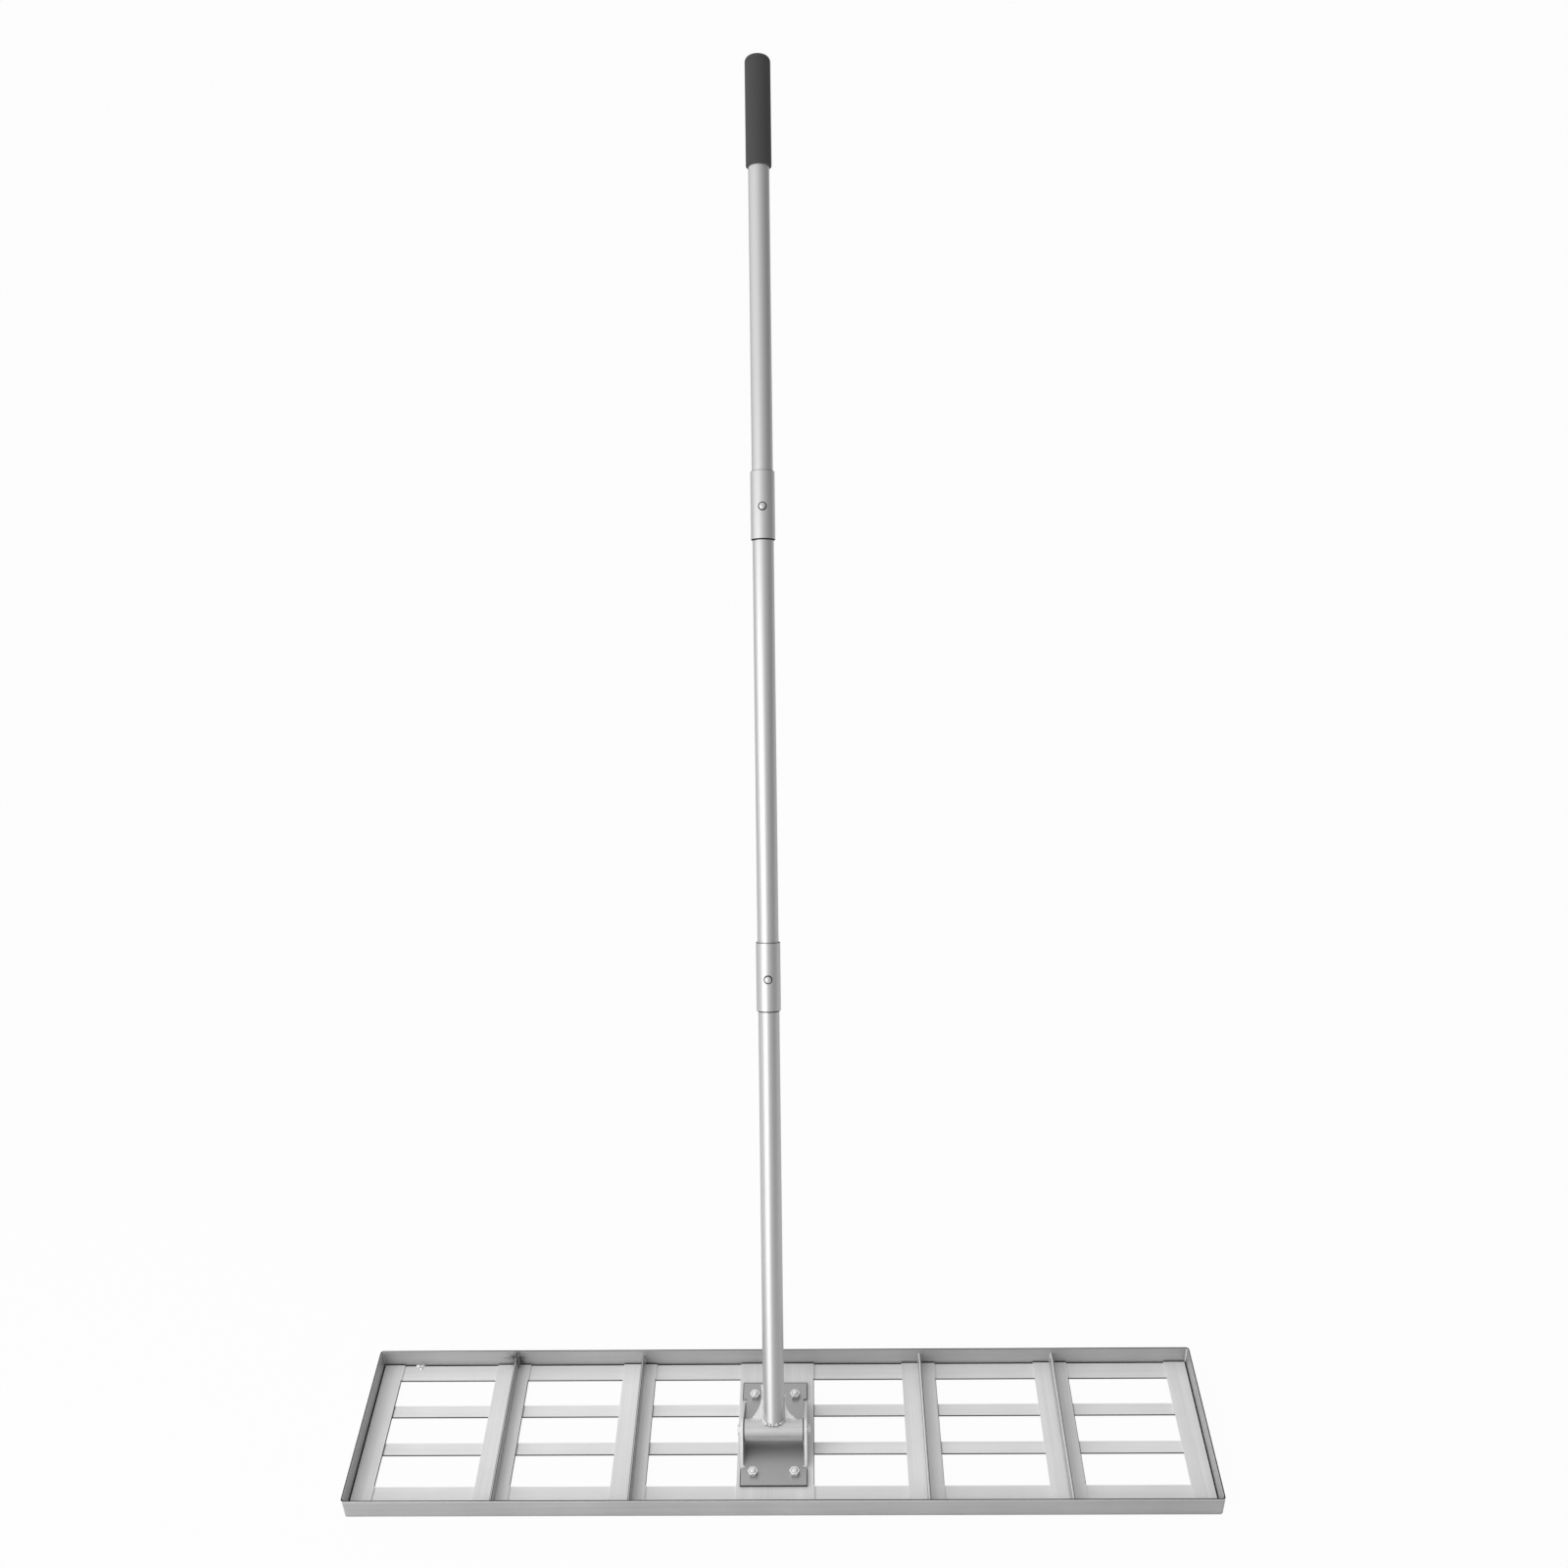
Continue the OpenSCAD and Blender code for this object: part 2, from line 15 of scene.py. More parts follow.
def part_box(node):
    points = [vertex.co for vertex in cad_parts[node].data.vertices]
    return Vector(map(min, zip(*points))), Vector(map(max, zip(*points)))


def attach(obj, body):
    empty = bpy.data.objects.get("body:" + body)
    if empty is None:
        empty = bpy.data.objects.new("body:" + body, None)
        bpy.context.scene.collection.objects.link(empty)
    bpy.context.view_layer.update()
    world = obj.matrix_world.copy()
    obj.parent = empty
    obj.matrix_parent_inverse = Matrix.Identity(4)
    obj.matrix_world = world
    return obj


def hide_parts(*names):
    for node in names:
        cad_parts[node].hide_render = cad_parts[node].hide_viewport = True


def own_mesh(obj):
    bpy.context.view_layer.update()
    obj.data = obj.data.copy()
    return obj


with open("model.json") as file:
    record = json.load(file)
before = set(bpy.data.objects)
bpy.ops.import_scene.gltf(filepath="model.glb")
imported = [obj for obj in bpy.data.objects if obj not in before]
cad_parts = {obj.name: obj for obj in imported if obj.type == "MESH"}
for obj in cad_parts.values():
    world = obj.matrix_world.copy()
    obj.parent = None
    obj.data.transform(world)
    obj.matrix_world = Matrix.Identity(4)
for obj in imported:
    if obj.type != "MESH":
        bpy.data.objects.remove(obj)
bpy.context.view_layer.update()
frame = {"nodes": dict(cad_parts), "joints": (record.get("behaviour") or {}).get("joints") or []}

bl_info = {
    "name": "Lawn leveling rake",
    "version": (1, 0, 0),
    "blender": (4, 5, 0),
    "location": "View3D > Sidebar > Rake",
    "description": "Models and finishes a lawn leveling rake on its frame",
    "category": "Object",
}

MM = 0.001
X, Y, Z = range(3)

JOINTS = {joint["name"]: joint for joint in frame["joints"]}
PIVOT = Vector(JOINTS["handle_pivot"]["pos_m"])
# Direction in which a snap button is pushed, square to the handle
PUSH = Vector(JOINTS["lower_button_press"]["axis"])
LEAN = math.atan2(-PUSH.z, PUSH.y)
ALONG_HANDLE = Vector((0, math.sin(LEAN), math.cos(LEAN)))
TO_HANDLE = Matrix.Rotation(-LEAN, 3, "X")
HANDLE_TURN = (-LEAN, 0, 0)
ACROSS_TURN = (0, math.pi / 2, 0)
FORWARD_TURN = (math.pi / 2, 0, 0)
NO_TURN = (0, 0, 0)

LONG_RIMS = {"front_rim": -1, "rear_rim": 1}
END_RIMS = {"left_rim": -1, "right_rim": 1}
LONG_BORDERS = {"front_border": -1, "rear_border": 1}
END_BORDERS = {"left_border": -1, "right_border": 1}
SLATS = ("front_slat", "rear_slat")
STRAPS = ("left_outer_strap", "left_inner_strap", "right_inner_strap", "right_outer_strap", "center_strap")
RIBS = ("left_outer_rib", "left_inner_rib", "right_inner_rib", "right_outer_rib")
BUSHES = ("left_pivot_bush", "right_pivot_bush")
# The handle tubes, with the joint at the upper end of each
TUBES = {"lower_tube": "lower", "middle_tube": "upper", "upper_tube": None}
JOINT_ENDS = ("lower", "upper")

# Size of the plane that a drawn outline starts from, how close points have to be to be one, and how close
# after a cut or a bevel
START = 1 * MM
SAME = 0.001 * MM
TOUCHING = 0.0002 * MM
# How far a cutting tool reaches past what it cuts
PAST = 2 * MM

# Steps round turned pieces and along arcs
SEAT_STEPS = 128
ROUND_STEPS = 64
FASTENER_STEPS = 48
DRILL_STEPS = 32
EAR_STEPS = 24
HOLLOW_STEPS = 16
GRIP_STEPS = 14
DOME_STEPS = 12
BEND_STEPS = 8
INNER_STEPS = 6
# Segments of rounded edges
EDGE_SEGMENTS = 2
ROLLED_SEGMENTS = 3
CORNER_SEGMENTS = 5
# Angles between faces, in degrees, above which an edge is rounded, and below which it is shaded smooth
SHARP = 50
BUTTON_SHARP = 35
SMOOTH = 40

# How much of a face's normal lies along a direction: none when it is side on, and one when it is square on
SIDE_ON = 0.1
LEANING = 0.2
TURNED = 0.3
SLOPING = 0.85
FACING = 0.9
SQUARE_ON = 0.97

HEX_SIDES = 6
# Radius of a nut's round face as a share of its flats, and the slope of its chamfer
NUT_FACE = 0.47
NUT_SLOPE = math.radians(30)
# Depth of a thread and the two ends of its crest, as shares of its pitch
THREAD_DEPTH = 0.55
THREAD_CREST = (0.45, 0.55)

# A weld bead's drops: their size and how far they stand out, as shares of the bead's radius, with how much
# and how fast these vary from drop to drop
DROP = 0.9
DROP_SWING = 0.2
DROP_BEAT = 2.4
STAND = 0.2
STAND_SWING = 0.21
STAND_BEAT = 3.7
# Height of a drop as a share of its width, on a bead and on the tack, and the voxels to a bead's radius
BEAD_FLAT = 0.7
TACK_FLAT = 0.6
BEAD_VOXELS = 7
# Numbers of drops, and the gussets' beads as a share of the bead at the handle's foot
FOOT_DROPS = 30
GUSSET_FOOT_DROPS = 9
GUSSET_EDGE_DROPS = 12
RIB_DROPS = 7
GUSSET_BEAD = 0.75
# Places of the tack's drops along the rim and away from it, in radii
TACK_DROPS = ((-1.4, 0.6), (-0.6, 0.6), (0.3, 0.6), (1.2, 0.6), (0.6, 2.2))

WHITE = (1, 1, 1, 1)
SENSOR_MM = 36
FAR_CLIP = 100
FLOOR_SIZE = 60
FLOOR_DROP = 0.3 * MM
# Height from which the soft light is full, as a share of straight overhead
FULL_LIGHT = 0.8
# Where the two softboxes stand, and what they are aimed at
KEY_PLACE = Vector((-1.5, -1.75, 1.3))
KEY_TARGET = Vector((0, 0.35, 0.7))
SIDE_PLACE = Vector((-1.3, 0, 1.3))
SIDE_TARGET = Vector((-0.5, 0, 0))

# What a noise value usually reaches
NOISE_REACH = (0.3, 0.7)
RANGE_SOCKETS = ("From Min", "From Max", "To Min", "To Max")
# The colour sockets of a Mix node: two inputs and the output
MIX_FIRST, MIX_SECOND, MIX_RESULT = 6, 7, 2


def length(name, description, default):
    """A size that a user can set, in metres."""
    return FloatProperty(name=name, description=description, default=default, min=0, precision=5,
                         subtype="DISTANCE", unit="LENGTH")


def shade(name, description, level):
    """A neutral colour that a user can set."""
    return FloatVectorProperty(name=name, description=description, default=(level, level, level),
                               size=3, min=0, max=1, subtype="COLOR")


def share(name, description, default):
    """A value from none to all that a user can set."""
    return FloatProperty(name=name, description=description, default=default, min=0, max=1, subtype="FACTOR")


def amount(name, description, default, unit="NONE"):
    """A value with no upper limit that a user can set."""
    return FloatProperty(name=name, description=description, default=default, min=0, unit=unit)


class RAKE_PG_plate(bpy.types.PropertyGroup):
    """Sizes of the drag plate's edges and seams."""

    corner: length("Corner radius", "Outer radius of the rim at its upright corners", 5 * MM)
    edge: length("Edge radius", "Radius of the worn edges of the bars", 0.35 * MM)
    rim_edge: length("Rim edge radius", "Radius of the rim's rolled edges", 0.7 * MM)
    # The dark seams are oxide with painted shade.
    seam: length("Seam width", "Width of the dark seams where bars meet the rim", 2.2 * MM)
    seam_drop: length("Seam depth", "Depth of the dark seams at the rim", 0.3 * MM)
    # The dark lines along the bars' right edges are painted shade, and the bright lines beside the seams a
    # painted highlight.
    line: length("Line width", "Width of the dark lines along the bars' right edges and of the bright lines "
                 "beside the seams", 0.8 * MM)
    rib_weld: length("Rib weld radius", "Radius of the weld beads at the ribs' ends", 1.6 * MM)
    tack: length("Tack radius", "Radius of the weld tack on the rear border", 3.2 * MM)
    tack_in: length("Tack place", "Distance of the weld tack from the left border", 23.5 * MM)
    scorch: length("Scorch radius", "Reach of the scorch round the left outer rib's rear end", 20 * MM)
    # The dark line along the feet is grime with painted shade.
    grime_and_shade: length("Grime height", "Height of the dark line along the foot of the rims and ribs", 1 * MM)


class RAKE_PG_hinge(bpy.types.PropertyGroup):
    """Sizes of the hinge bracket and its fasteners."""

    sheet: length("Sheet", "Thickness of the bracket's sheet", 4 * MM)
    bend: length("Bend radius", "Inner radius of the bends", 2 * MM)
    front_inset: length("Front inset", "Distance of the ears from the base's front edge", 29 * MM)
    rear_inset: length("Rear inset", "Distance of the ears from the base's rear edge", 31 * MM)
    ear: length("Ear radius", "Radius of the ears round the pivot", 17 * MM)
    relief: length("Relief width", "Width of the relief slots at the ends of the bends", 2.5 * MM)
    edge: length("Edge radius", "Radius of the bracket's edges", 0.8 * MM)
    # The base's dark outline is painted shadow, and its dark sides painted shade.
    outline: length("Outline width", "Width of the dark line along the base's rear and side edges", 1 * MM)
    outline_drop: length("Outline drop", "How close to the base's front and rear its dark sides lie", 1 * MM)
    bolt: length("Bolt radius", "Radius of the bolts' shanks", 4 * MM)
    bolt_head: length("Bolt head radius", "Radius of the low bolt heads", 7.5 * MM)
    head_rim: length("Bolt head rim", "Height of the bevel round the low bolt heads", 0.6 * MM)
    chamfer: length("Bolt chamfer", "Height of the chamfer on the bolts' ends", 0.7 * MM)
    flats: length("Nut flats", "Width of the nuts across their flats", 13 * MM)
    sink: length("Countersink", "Depth of the countersinks in the nuts", 0.5 * MM)
    # The dark ring in a nut's bore and the dark line at its foot are painted shade.
    nut_ring: length("Nut ring", "Width of the dark ring round a bolt in its nut", 0.6 * MM)
    nut_foot: length("Nut foot", "Height of the dark line at a nut's foot", 1.6 * MM)
    pitch: length("Thread pitch", "Distance between the threads", 1.25 * MM)
    fastener_edge: length("Fastener edge", "Radius of the fasteners' edges", 0.2 * MM)
    tube_wall: length("Pivot tube wall", "Wall of the pivot tube", 2.5 * MM)
    tube_bevel: length("Pivot tube bevel", "Bevel on the ends of the pivot tube", 0.5 * MM)


class RAKE_PG_handle(bpy.types.PropertyGroup):
    """Sizes of the handle's tubes, sleeves, buttons, gussets and grip."""

    wall: length("Tube wall", "Wall of the handle tubes", 1 * MM)
    foot: length("Handle foot", "Height of the handle's lower end above the pivot", 14 * MM)
    sleeve_bore: length("Sleeve bore", "Inner radius of the sleeves and the grip", 15.33 * MM)
    sleeve_bevel: length("Sleeve bevel", "Bevel on the ends of the sleeves", 0.6 * MM)
    sleeve_edge: length("Sleeve edge", "Radius of the edges of the sleeves and of their holes", 0.25 * MM)
    sleeve_below: length("Sleeve below", "Reach of a sleeve below its button", 46 * MM)
    button: length("Button radius", "Radius of the snap buttons", 5.5 * MM)
    button_dome: length("Button dome", "Radius of a button's dome", 9 * MM)
    button_edge: length("Button edge", "Radius of the buttons' edges", 0.3 * MM)
    button_proud: length("Button stand-out", "How far a button stands out of its sleeve", 3 * MM)
    button_hole: length("Button hole", "Radius of the hole in a sleeve", 6.2 * MM)
    # The dark ring round a button's hole is painted shade.
    hole_ring: length("Hole ring", "Width of the dark ring round a button's hole", 0.3 * MM)
    button_collar: length("Button collar", "Radius of the collar inside the tube", 6.25 * MM)
    # The dark ring round a button's dome is painted shade.
    button_ring: length("Button ring", "Width of the dark ring round a button's dome", 0.7 * MM)
    collar_thick: length("Collar thickness", "Thickness of the collar inside the tube", 1.5 * MM)
    collar_gap: length("Collar gap", "Room between the collar and the tube's wall", 0.4 * MM)
    leaf: length("Leaf thickness", "Thickness of the leaf springs", 0.8 * MM)
    leaf_edge: length("Leaf edge", "Radius of the leaf springs' edges", 0.2 * MM)
    leaf_below: length("Leaf below", "Reach of a leaf spring below its button", 46 * MM)
    leaf_gap: length("Leaf gap", "Room between a leaf spring and the tube's rear wall", 0.1 * MM)
    # The dark line below a sleeve is painted shade.
    mouth: length("Mouth line", "Height of the dark line on a tube below its sleeve", 1.3 * MM)
    gusset_sheet: length("Gusset sheet", "Thickness of the gussets", 3 * MM)
    gusset_edge: length("Gusset edge", "Radius of the gussets' edges", 1.2 * MM)
    gusset_reach: length("Gusset reach", "Reach of the gussets from the handle's middle line", 30.5 * MM)
    gusset_tip: length("Gusset tip", "Width of a gusset's tip against the handle", 2.5 * MM)
    gusset_foot: length("Gusset foot", "Height of a gusset's foot on the pivot tube", 2.5 * MM)
    gusset_hollow: length("Gusset hollow", "How deep a gusset's outer edge is hollowed", 6 * MM)
    left_height: length("Left gusset height", "Height of the left gusset above the pivot", 64 * MM)
    right_height: length("Right gusset height", "Height of the right gusset above the pivot", 50 * MM)
    grip_end: length("Grip end radius", "Radius of the grip's rounded closed end", 9 * MM)
    grip_end_wall: length("Grip end wall", "Thickness of the grip's closed end", 5 * MM)
    grip_rim: length("Grip rim radius", "Radius of the grip's rounded open end", 1.5 * MM)
    grip_groove: length("Grip groove", "Depth of the fine groove moulded round the grip", 0.3 * MM)
    weld: length("Weld radius", "Radius of the weld beads at the handle's foot", 2.4 * MM)


class RAKE_PG_finish(bpy.types.PropertyGroup):
    """Colours and roughness of the finishes that are made here."""

    plate: shade("Plate steel", "Colour of the brushed plate", 0.94)
    mottle: share("Mottling", "How much the tone of the cross bars varies", 0.09)
    plate_rough: share("Plate roughness", "Roughness of the brushed plate", 0.42)
    plate_metal: share("Plate metal", "How much of the plate's light is mirrored, not scattered", 0.12)
    plate_gloss: share("Plate gloss", "Level of the shine over the plate's scattered light", 0.0)
    # The rims and ribs are the plate's steel; their darker colour is painted shade on these upright pieces.
    rim: shade("Rim steel", "Colour of the rims and ribs", 0.62)
    rim_mottle: share("Rim mottling", "How much the tone of the rims and ribs varies", 0.12)
    rim_metal: share("Rim metal", "How much of the rims' light is mirrored, not scattered", 0.42)
    # The worn edge is wear, and also the painted highlight on the edges and tops it is given to.
    worn: shade("Worn edge", "Colour of edges rubbed bright", 0.98)
    wear_and_highlight_rough: share("Worn roughness", "Roughness of edges rubbed bright", 0.35)
    wear_and_highlight_metal: share("Worn metal", "How much of an edge's light is mirrored, not scattered", 0.3)
    # The cut edge is the sheared edges' own dark, and also painted shade on the sides, lines and top edges it
    # is given to.
    cut: shade("Cut edge", "Colour of the sheared edges of the bars", 0.1)
    # The seams' near black is oxide with painted shade, and the painted shade in other gaps.
    seam: shade("Seam", "Colour of the dark seams along the rim", 0.02)
    pivot: shade("Pivot tube steel", "Colour of the pivot tube", 0.78)
    pivot_rough: share("Pivot tube roughness", "Roughness of the pivot tube", 0.3)
    pivot_metal: share("Pivot tube metal", "How much of the pivot tube's light is mirrored", 0.75)
    gusset: shade("Gusset steel", "Colour of the gussets' faces", 0.97)
    gusset_rough: share("Gusset roughness", "Roughness of the gussets' faces", 0.37)
    weld: shade("Weld metal", "Colour of the weld beads", 0.97)
    weld_metal: share("Weld mirroring", "How much of the weld beads' light is mirrored", 0.5)
    grip: shade("Grip foam", "Colour of the soft grip", 0.075)


class RAKE_PG_stage(bpy.types.PropertyGroup):
    """Camera, floor and lights."""

    eye: FloatVectorProperty(name="Camera place", description="Where the camera stands",
                             default=(0.06233, -1.48008, 2.03118), subtype="TRANSLATION", unit="LENGTH")
    aim: FloatVectorProperty(name="Camera turn", description="How the camera is turned", subtype="EULER",
                             unit="ROTATION", default=tuple(map(math.radians, (58.3929, 1.208, 0.6462))))
    lens: amount("Lens", "Focal length of the camera", 36.983, "CAMERA")
    floor: shade("Floor", "Colour of the pale floor", 0.8)
    floor_white: share("Floor whiteness", "How much the floor shows plain white to the camera", 0.95)
    floor_mirrored: share("Mirrored floor", "How much the floor shows plain white in the metal", 0.1)
    floor_rough: share("Floor roughness", "Roughness of the floor", 0.9)
    left: amount("Left light", "Level of the soft light on the left", 1.2)
    right: amount("Right light", "Level of the soft light on the right", 0.27)
    horizon: share("Horizon", "Level of the soft light at the horizon, as a share of it overhead", 0.72)
    key: amount("Key light", "Power of the tall softbox", 20, "POWER")
    key_wide: length("Key width", "Width of the tall softbox", 1.9)
    key_tall: length("Key height", "Height of the tall softbox", 2.6)
    side: amount("Side light", "Power of the small softbox", 2.5, "POWER")
    side_size: length("Side size", "Width and height of the small softbox", 0.8)


class RAKE_PG_all(bpy.types.PropertyGroup):
    """Everything that can be set."""

    plate: PointerProperty(type=RAKE_PG_plate)
    hinge: PointerProperty(type=RAKE_PG_hinge)
    handle: PointerProperty(type=RAKE_PG_handle)
    finish: PointerProperty(type=RAKE_PG_finish)
    stage: PointerProperty(type=RAKE_PG_stage)


def settings():
    """The sizes, finishes and stage of this scene."""
    return bpy.context.scene.rake


# Modelling


def clear():
    """Leaves edit mode and deselects everything."""
    active = bpy.context.object
    if active and active.mode != "OBJECT":
        bpy.ops.object.mode_set(mode="OBJECT")
    bpy.ops.object.select_all(action="DESELECT")


def take(*pieces):
    """Selects these pieces alone, with the first one active."""
    clear()
    for piece in pieces:
        piece.select_set(True)
    bpy.context.view_layer.objects.active = pieces[0]


def edit(piece):
    """Opens a piece in edit mode."""
    take(piece)
    bpy.ops.object.mode_set(mode="EDIT")


def settle():
    """Puts the active piece's place, turn and size into its mesh."""
    bpy.ops.object.transform_apply(location=True, rotation=True, scale=True)


def started(name):
    """Settles and names the piece that has just been added."""
    settle()
    piece = bpy.context.object
    piece.name = name
    piece.data.name = name
    return piece


def pick(kind, test):
    """In edit mode, selects the vertices, edges or faces that pass a test."""
    bpy.ops.mesh.select_mode(type=kind)
    bpy.ops.mesh.select_all(action="DESELECT")
    mesh = bmesh.from_edit_mesh(bpy.context.object.data)
    parts = {"VERT": mesh.verts, "EDGE": mesh.edges, "FACE": mesh.faces}[kind]
    found = [part for part in parts if test(part)]
    if not found:
        raise RuntimeError(f"nothing to select on {bpy.context.object.name}")
    for part in found:
        part.select_set(True)
    mesh.select_flush_mode()
    bmesh.update_edit_mesh(bpy.context.object.data)


def score(axis, where):
    """In edit mode, scores a line round the whole piece at a place on an axis."""
    point = Vector((0, 0, 0))
    across = Vector((0, 0, 0))
    point[axis] = where
    across[axis] = 1
    bpy.ops.mesh.select_all(action="SELECT")
    bpy.ops.mesh.bisect(plane_co=point, plane_no=across)


def tidy_mesh(near=SAME):
    """In edit mode, merges double points, drops faces with no area and turns the rest outwards."""
    bpy.ops.mesh.select_all(action="SELECT")
    bpy.ops.mesh.remove_doubles(threshold=near)
    bpy.ops.mesh.dissolve_degenerate(threshold=near)
    bpy.ops.mesh.normals_make_consistent(inside=False)


def cleaned(piece):
    """Tidies the mesh of a piece that was cut or bevelled."""
    edit(piece)
    tidy_mesh(TOUCHING)
    clear()


def block(name, lo, hi):
    """Starts a piece as a block between two corners."""
    clear()
    bpy.ops.mesh.primitive_cube_add(size=1, location=(lo + hi) / 2, scale=hi - lo)
    return started(name)


def draw(name, points):
    """Starts a piece as a line along points, and leaves it in edit mode."""
    clear()
    bpy.ops.mesh.primitive_plane_add(size=START)
    piece = started(name)
    bpy.ops.object.mode_set(mode="EDIT")
    bpy.ops.mesh.select_mode(type="VERT")
    bpy.ops.mesh.select_all(action="SELECT")
    bpy.ops.mesh.merge(type="CENTER")
    bpy.ops.transform.translate(value=points[0])
    for here, there in zip(points, points[1:]):
        bpy.ops.mesh.extrude_vertices_move(TRANSFORM_OT_translate={"value": there - here})
    return piece


def cut_sheet(name, outline, through):
    """Starts a piece as a sheet cut to a closed outline, as thick as the vector through."""
    piece = draw(name, outline)
    bpy.ops.mesh.select_all(action="SELECT")
    bpy.ops.mesh.edge_face_add()
    bpy.ops.mesh.extrude_region_move(TRANSFORM_OT_translate={"value": through})
    tidy_mesh()
    clear()
    return piece


def turned(name, profile, steps=ROUND_STEPS):
    """Starts a piece as a profile of (radius, height) points, turned round the Z axis."""
    piece = draw(name, [Vector((radius, 0, height)) for radius, height in profile])
    bpy.ops.mesh.select_all(action="SELECT")
    bpy.ops.mesh.spin(steps=steps, angle=math.tau, center=(0, 0, 0), axis=(0, 0, 1))
    tidy_mesh()
    clear()
    return piece


def rod(name, radius, first, last, steps=ROUND_STEPS):
    """Starts a cutting tool as a solid rod along the Z axis between two heights."""
    return turned(name, [(0, first), (radius, first), (radius, last), (0, last)], steps)


def stand(piece, turn, spot):
    """Turns and moves a piece that was made at the origin."""
    take(piece)
    piece.rotation_euler = turn
    piece.location = spot
    settle()
    return piece


def on_handle(piece, height=0.0):
    """Moves a piece that was made at the origin to a height along the leaning handle."""
    return stand(piece, HANDLE_TURN, PIVOT + height * ALONG_HANDLE)


def copied(piece, name, move):
    """A copy of a piece with its own mesh, moved."""
    take(piece)
    bpy.ops.object.duplicate(linked=False)
    copy = bpy.context.object
    copy.location = move
    return started(name)


def joined(pieces):
    """Makes one piece of several."""
    take(*pieces)
    bpy.ops.object.join()
    return bpy.context.object


def modify(piece, kind, **values):
    """Adds a modifier and applies it."""
    take(piece)
    bpy.ops.object.modifier_add(type=kind)
    modifier = piece.modifiers[-1]
    for key, value in values.items():
        setattr(modifier, key, value)
    bpy.ops.object.modifier_apply(modifier=modifier.name)


def combine(piece, tool, how):
    """Cuts a piece with a tool, or adds the tool to it, and removes the tool."""
    modify(piece, "BOOLEAN", object=tool, operation=how, solver="EXACT")
    bpy.data.objects.remove(tool)
    cleaned(piece)


def soften(piece, width, segments=EDGE_SEGMENTS, above=SHARP):
    """Rounds the edges that are sharper than an angle, and shades the rest smooth."""
    modify(piece, "BEVEL", width=width, segments=segments, limit_method="ANGLE",
           angle_limit=math.radians(above), use_clamp_overlap=True)
    cleaned(piece)
    smooth(piece)


def smooth(piece):
    """Shades a piece smooth where its faces meet at a small angle."""
    take(piece)
    bpy.ops.object.shade_smooth_by_angle(angle=math.radians(SMOOTH))
    modify(piece, "WEIGHTED_NORMAL", keep_sharp=True)


def evenly(first, last, count):
    """A number of values from first to last, evenly apart."""
    return [first + (last - first) * step / (count - 1) for step in range(count)]


def arc(middle, radius, first, last, steps):
    """Points on an arc, as pairs, with its ends given in degrees."""
    angles = [math.radians(angle) for angle in evenly(first, last, steps + 1)]
    return [(middle[0] + radius * math.cos(angle), middle[1] + radius * math.sin(angle)) for angle in angles]


def dress(piece, *names):
    """Gives a piece its finishes by name, the main one first."""
    piece.data.materials.clear()
    for name in names:
        piece.data.materials.append(finish(name))


def paint(piece, name, test):
    """Gives one of a piece's finishes to the faces that pass a test."""
    index = piece.data.materials.find(name)
    for face in piece.data.polygons:
        if test(face):
            face.material_index = index


def place(piece, body, slot, *nodes):
    """Rides a finished piece on a body, in the place of nodes."""
    clear()
    if nodes:
        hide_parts(*nodes)
    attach(piece, body)


def wide(node):
    """How wide a node is along X."""
    lo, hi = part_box(node)
    return hi.x - lo.x


def span(node, edge=0.0, rounded=False):
    """Start, end and radius of a round node on the handle, from its box and the size of its end's edge."""
    lo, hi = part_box(node)
    radius = (hi.x - lo.x) / 2
    sine = math.sin(LEAN)
    cosine = math.cos(LEAN)
    first = (lo.z - PIVOT.z + radius * sine) / cosine
    if rounded:
        last = (hi.z - PIVOT.z - edge - (radius - edge) * sine) / cosine + edge
    else:
        last = (hi.z - PIVOT.z - (radius - edge) * sine) / cosine
        first -= edge * sine / cosine
    return first, last, radius


# Finishes


def fresh_material(name):
    """A new material with its tree and its main shader."""
    material = bpy.data.materials.new(name)
    material.use_nodes = True
    tree = material.node_tree
    return material, tree, tree.nodes["Principled BSDF"]


def add_node(tree, kind, **values):
    """A new node with its properties and inputs set by name."""
    node = tree.nodes.new(kind)
    for key, value in values.items():
        if key in node.inputs:
            node.inputs[key].default_value = value
        else:
            setattr(node, key, value)
    return node


def worked_out(tree, operation, *values):
    """The result of a sum with sockets and numbers."""
    node = add_node(tree, "ShaderNodeMath", operation=operation)
    for socket, value in zip(node.inputs, values):
        if isinstance(value, bpy.types.NodeSocket):
            tree.links.new(value, socket)
        else:
            socket.default_value = value
    return node.outputs[0]


def ranged(tree, value, source, target, **values):
    """A value, mapped from one range to another and kept inside it."""
    node = add_node(tree, "ShaderNodeMapRange", clamp=True, **values)
    for name, number in zip(RANGE_SOCKETS, (*source, *target)):
        node.inputs[name].default_value = number
    tree.links.new(value, node.inputs["Value"])
    return node.outputs["Result"]


def mixed(tree, part, first, second, output):
    """Ends a tree in two shaders, with a part of the second."""
    mix = tree.nodes.new("ShaderNodeMixShader")
    for value, socket in zip((part, first.outputs[0], second.outputs[0]), mix.inputs):
        tree.links.new(value, socket)
    tree.links.new(mix.outputs[0], tree.nodes[output].inputs["Surface"])


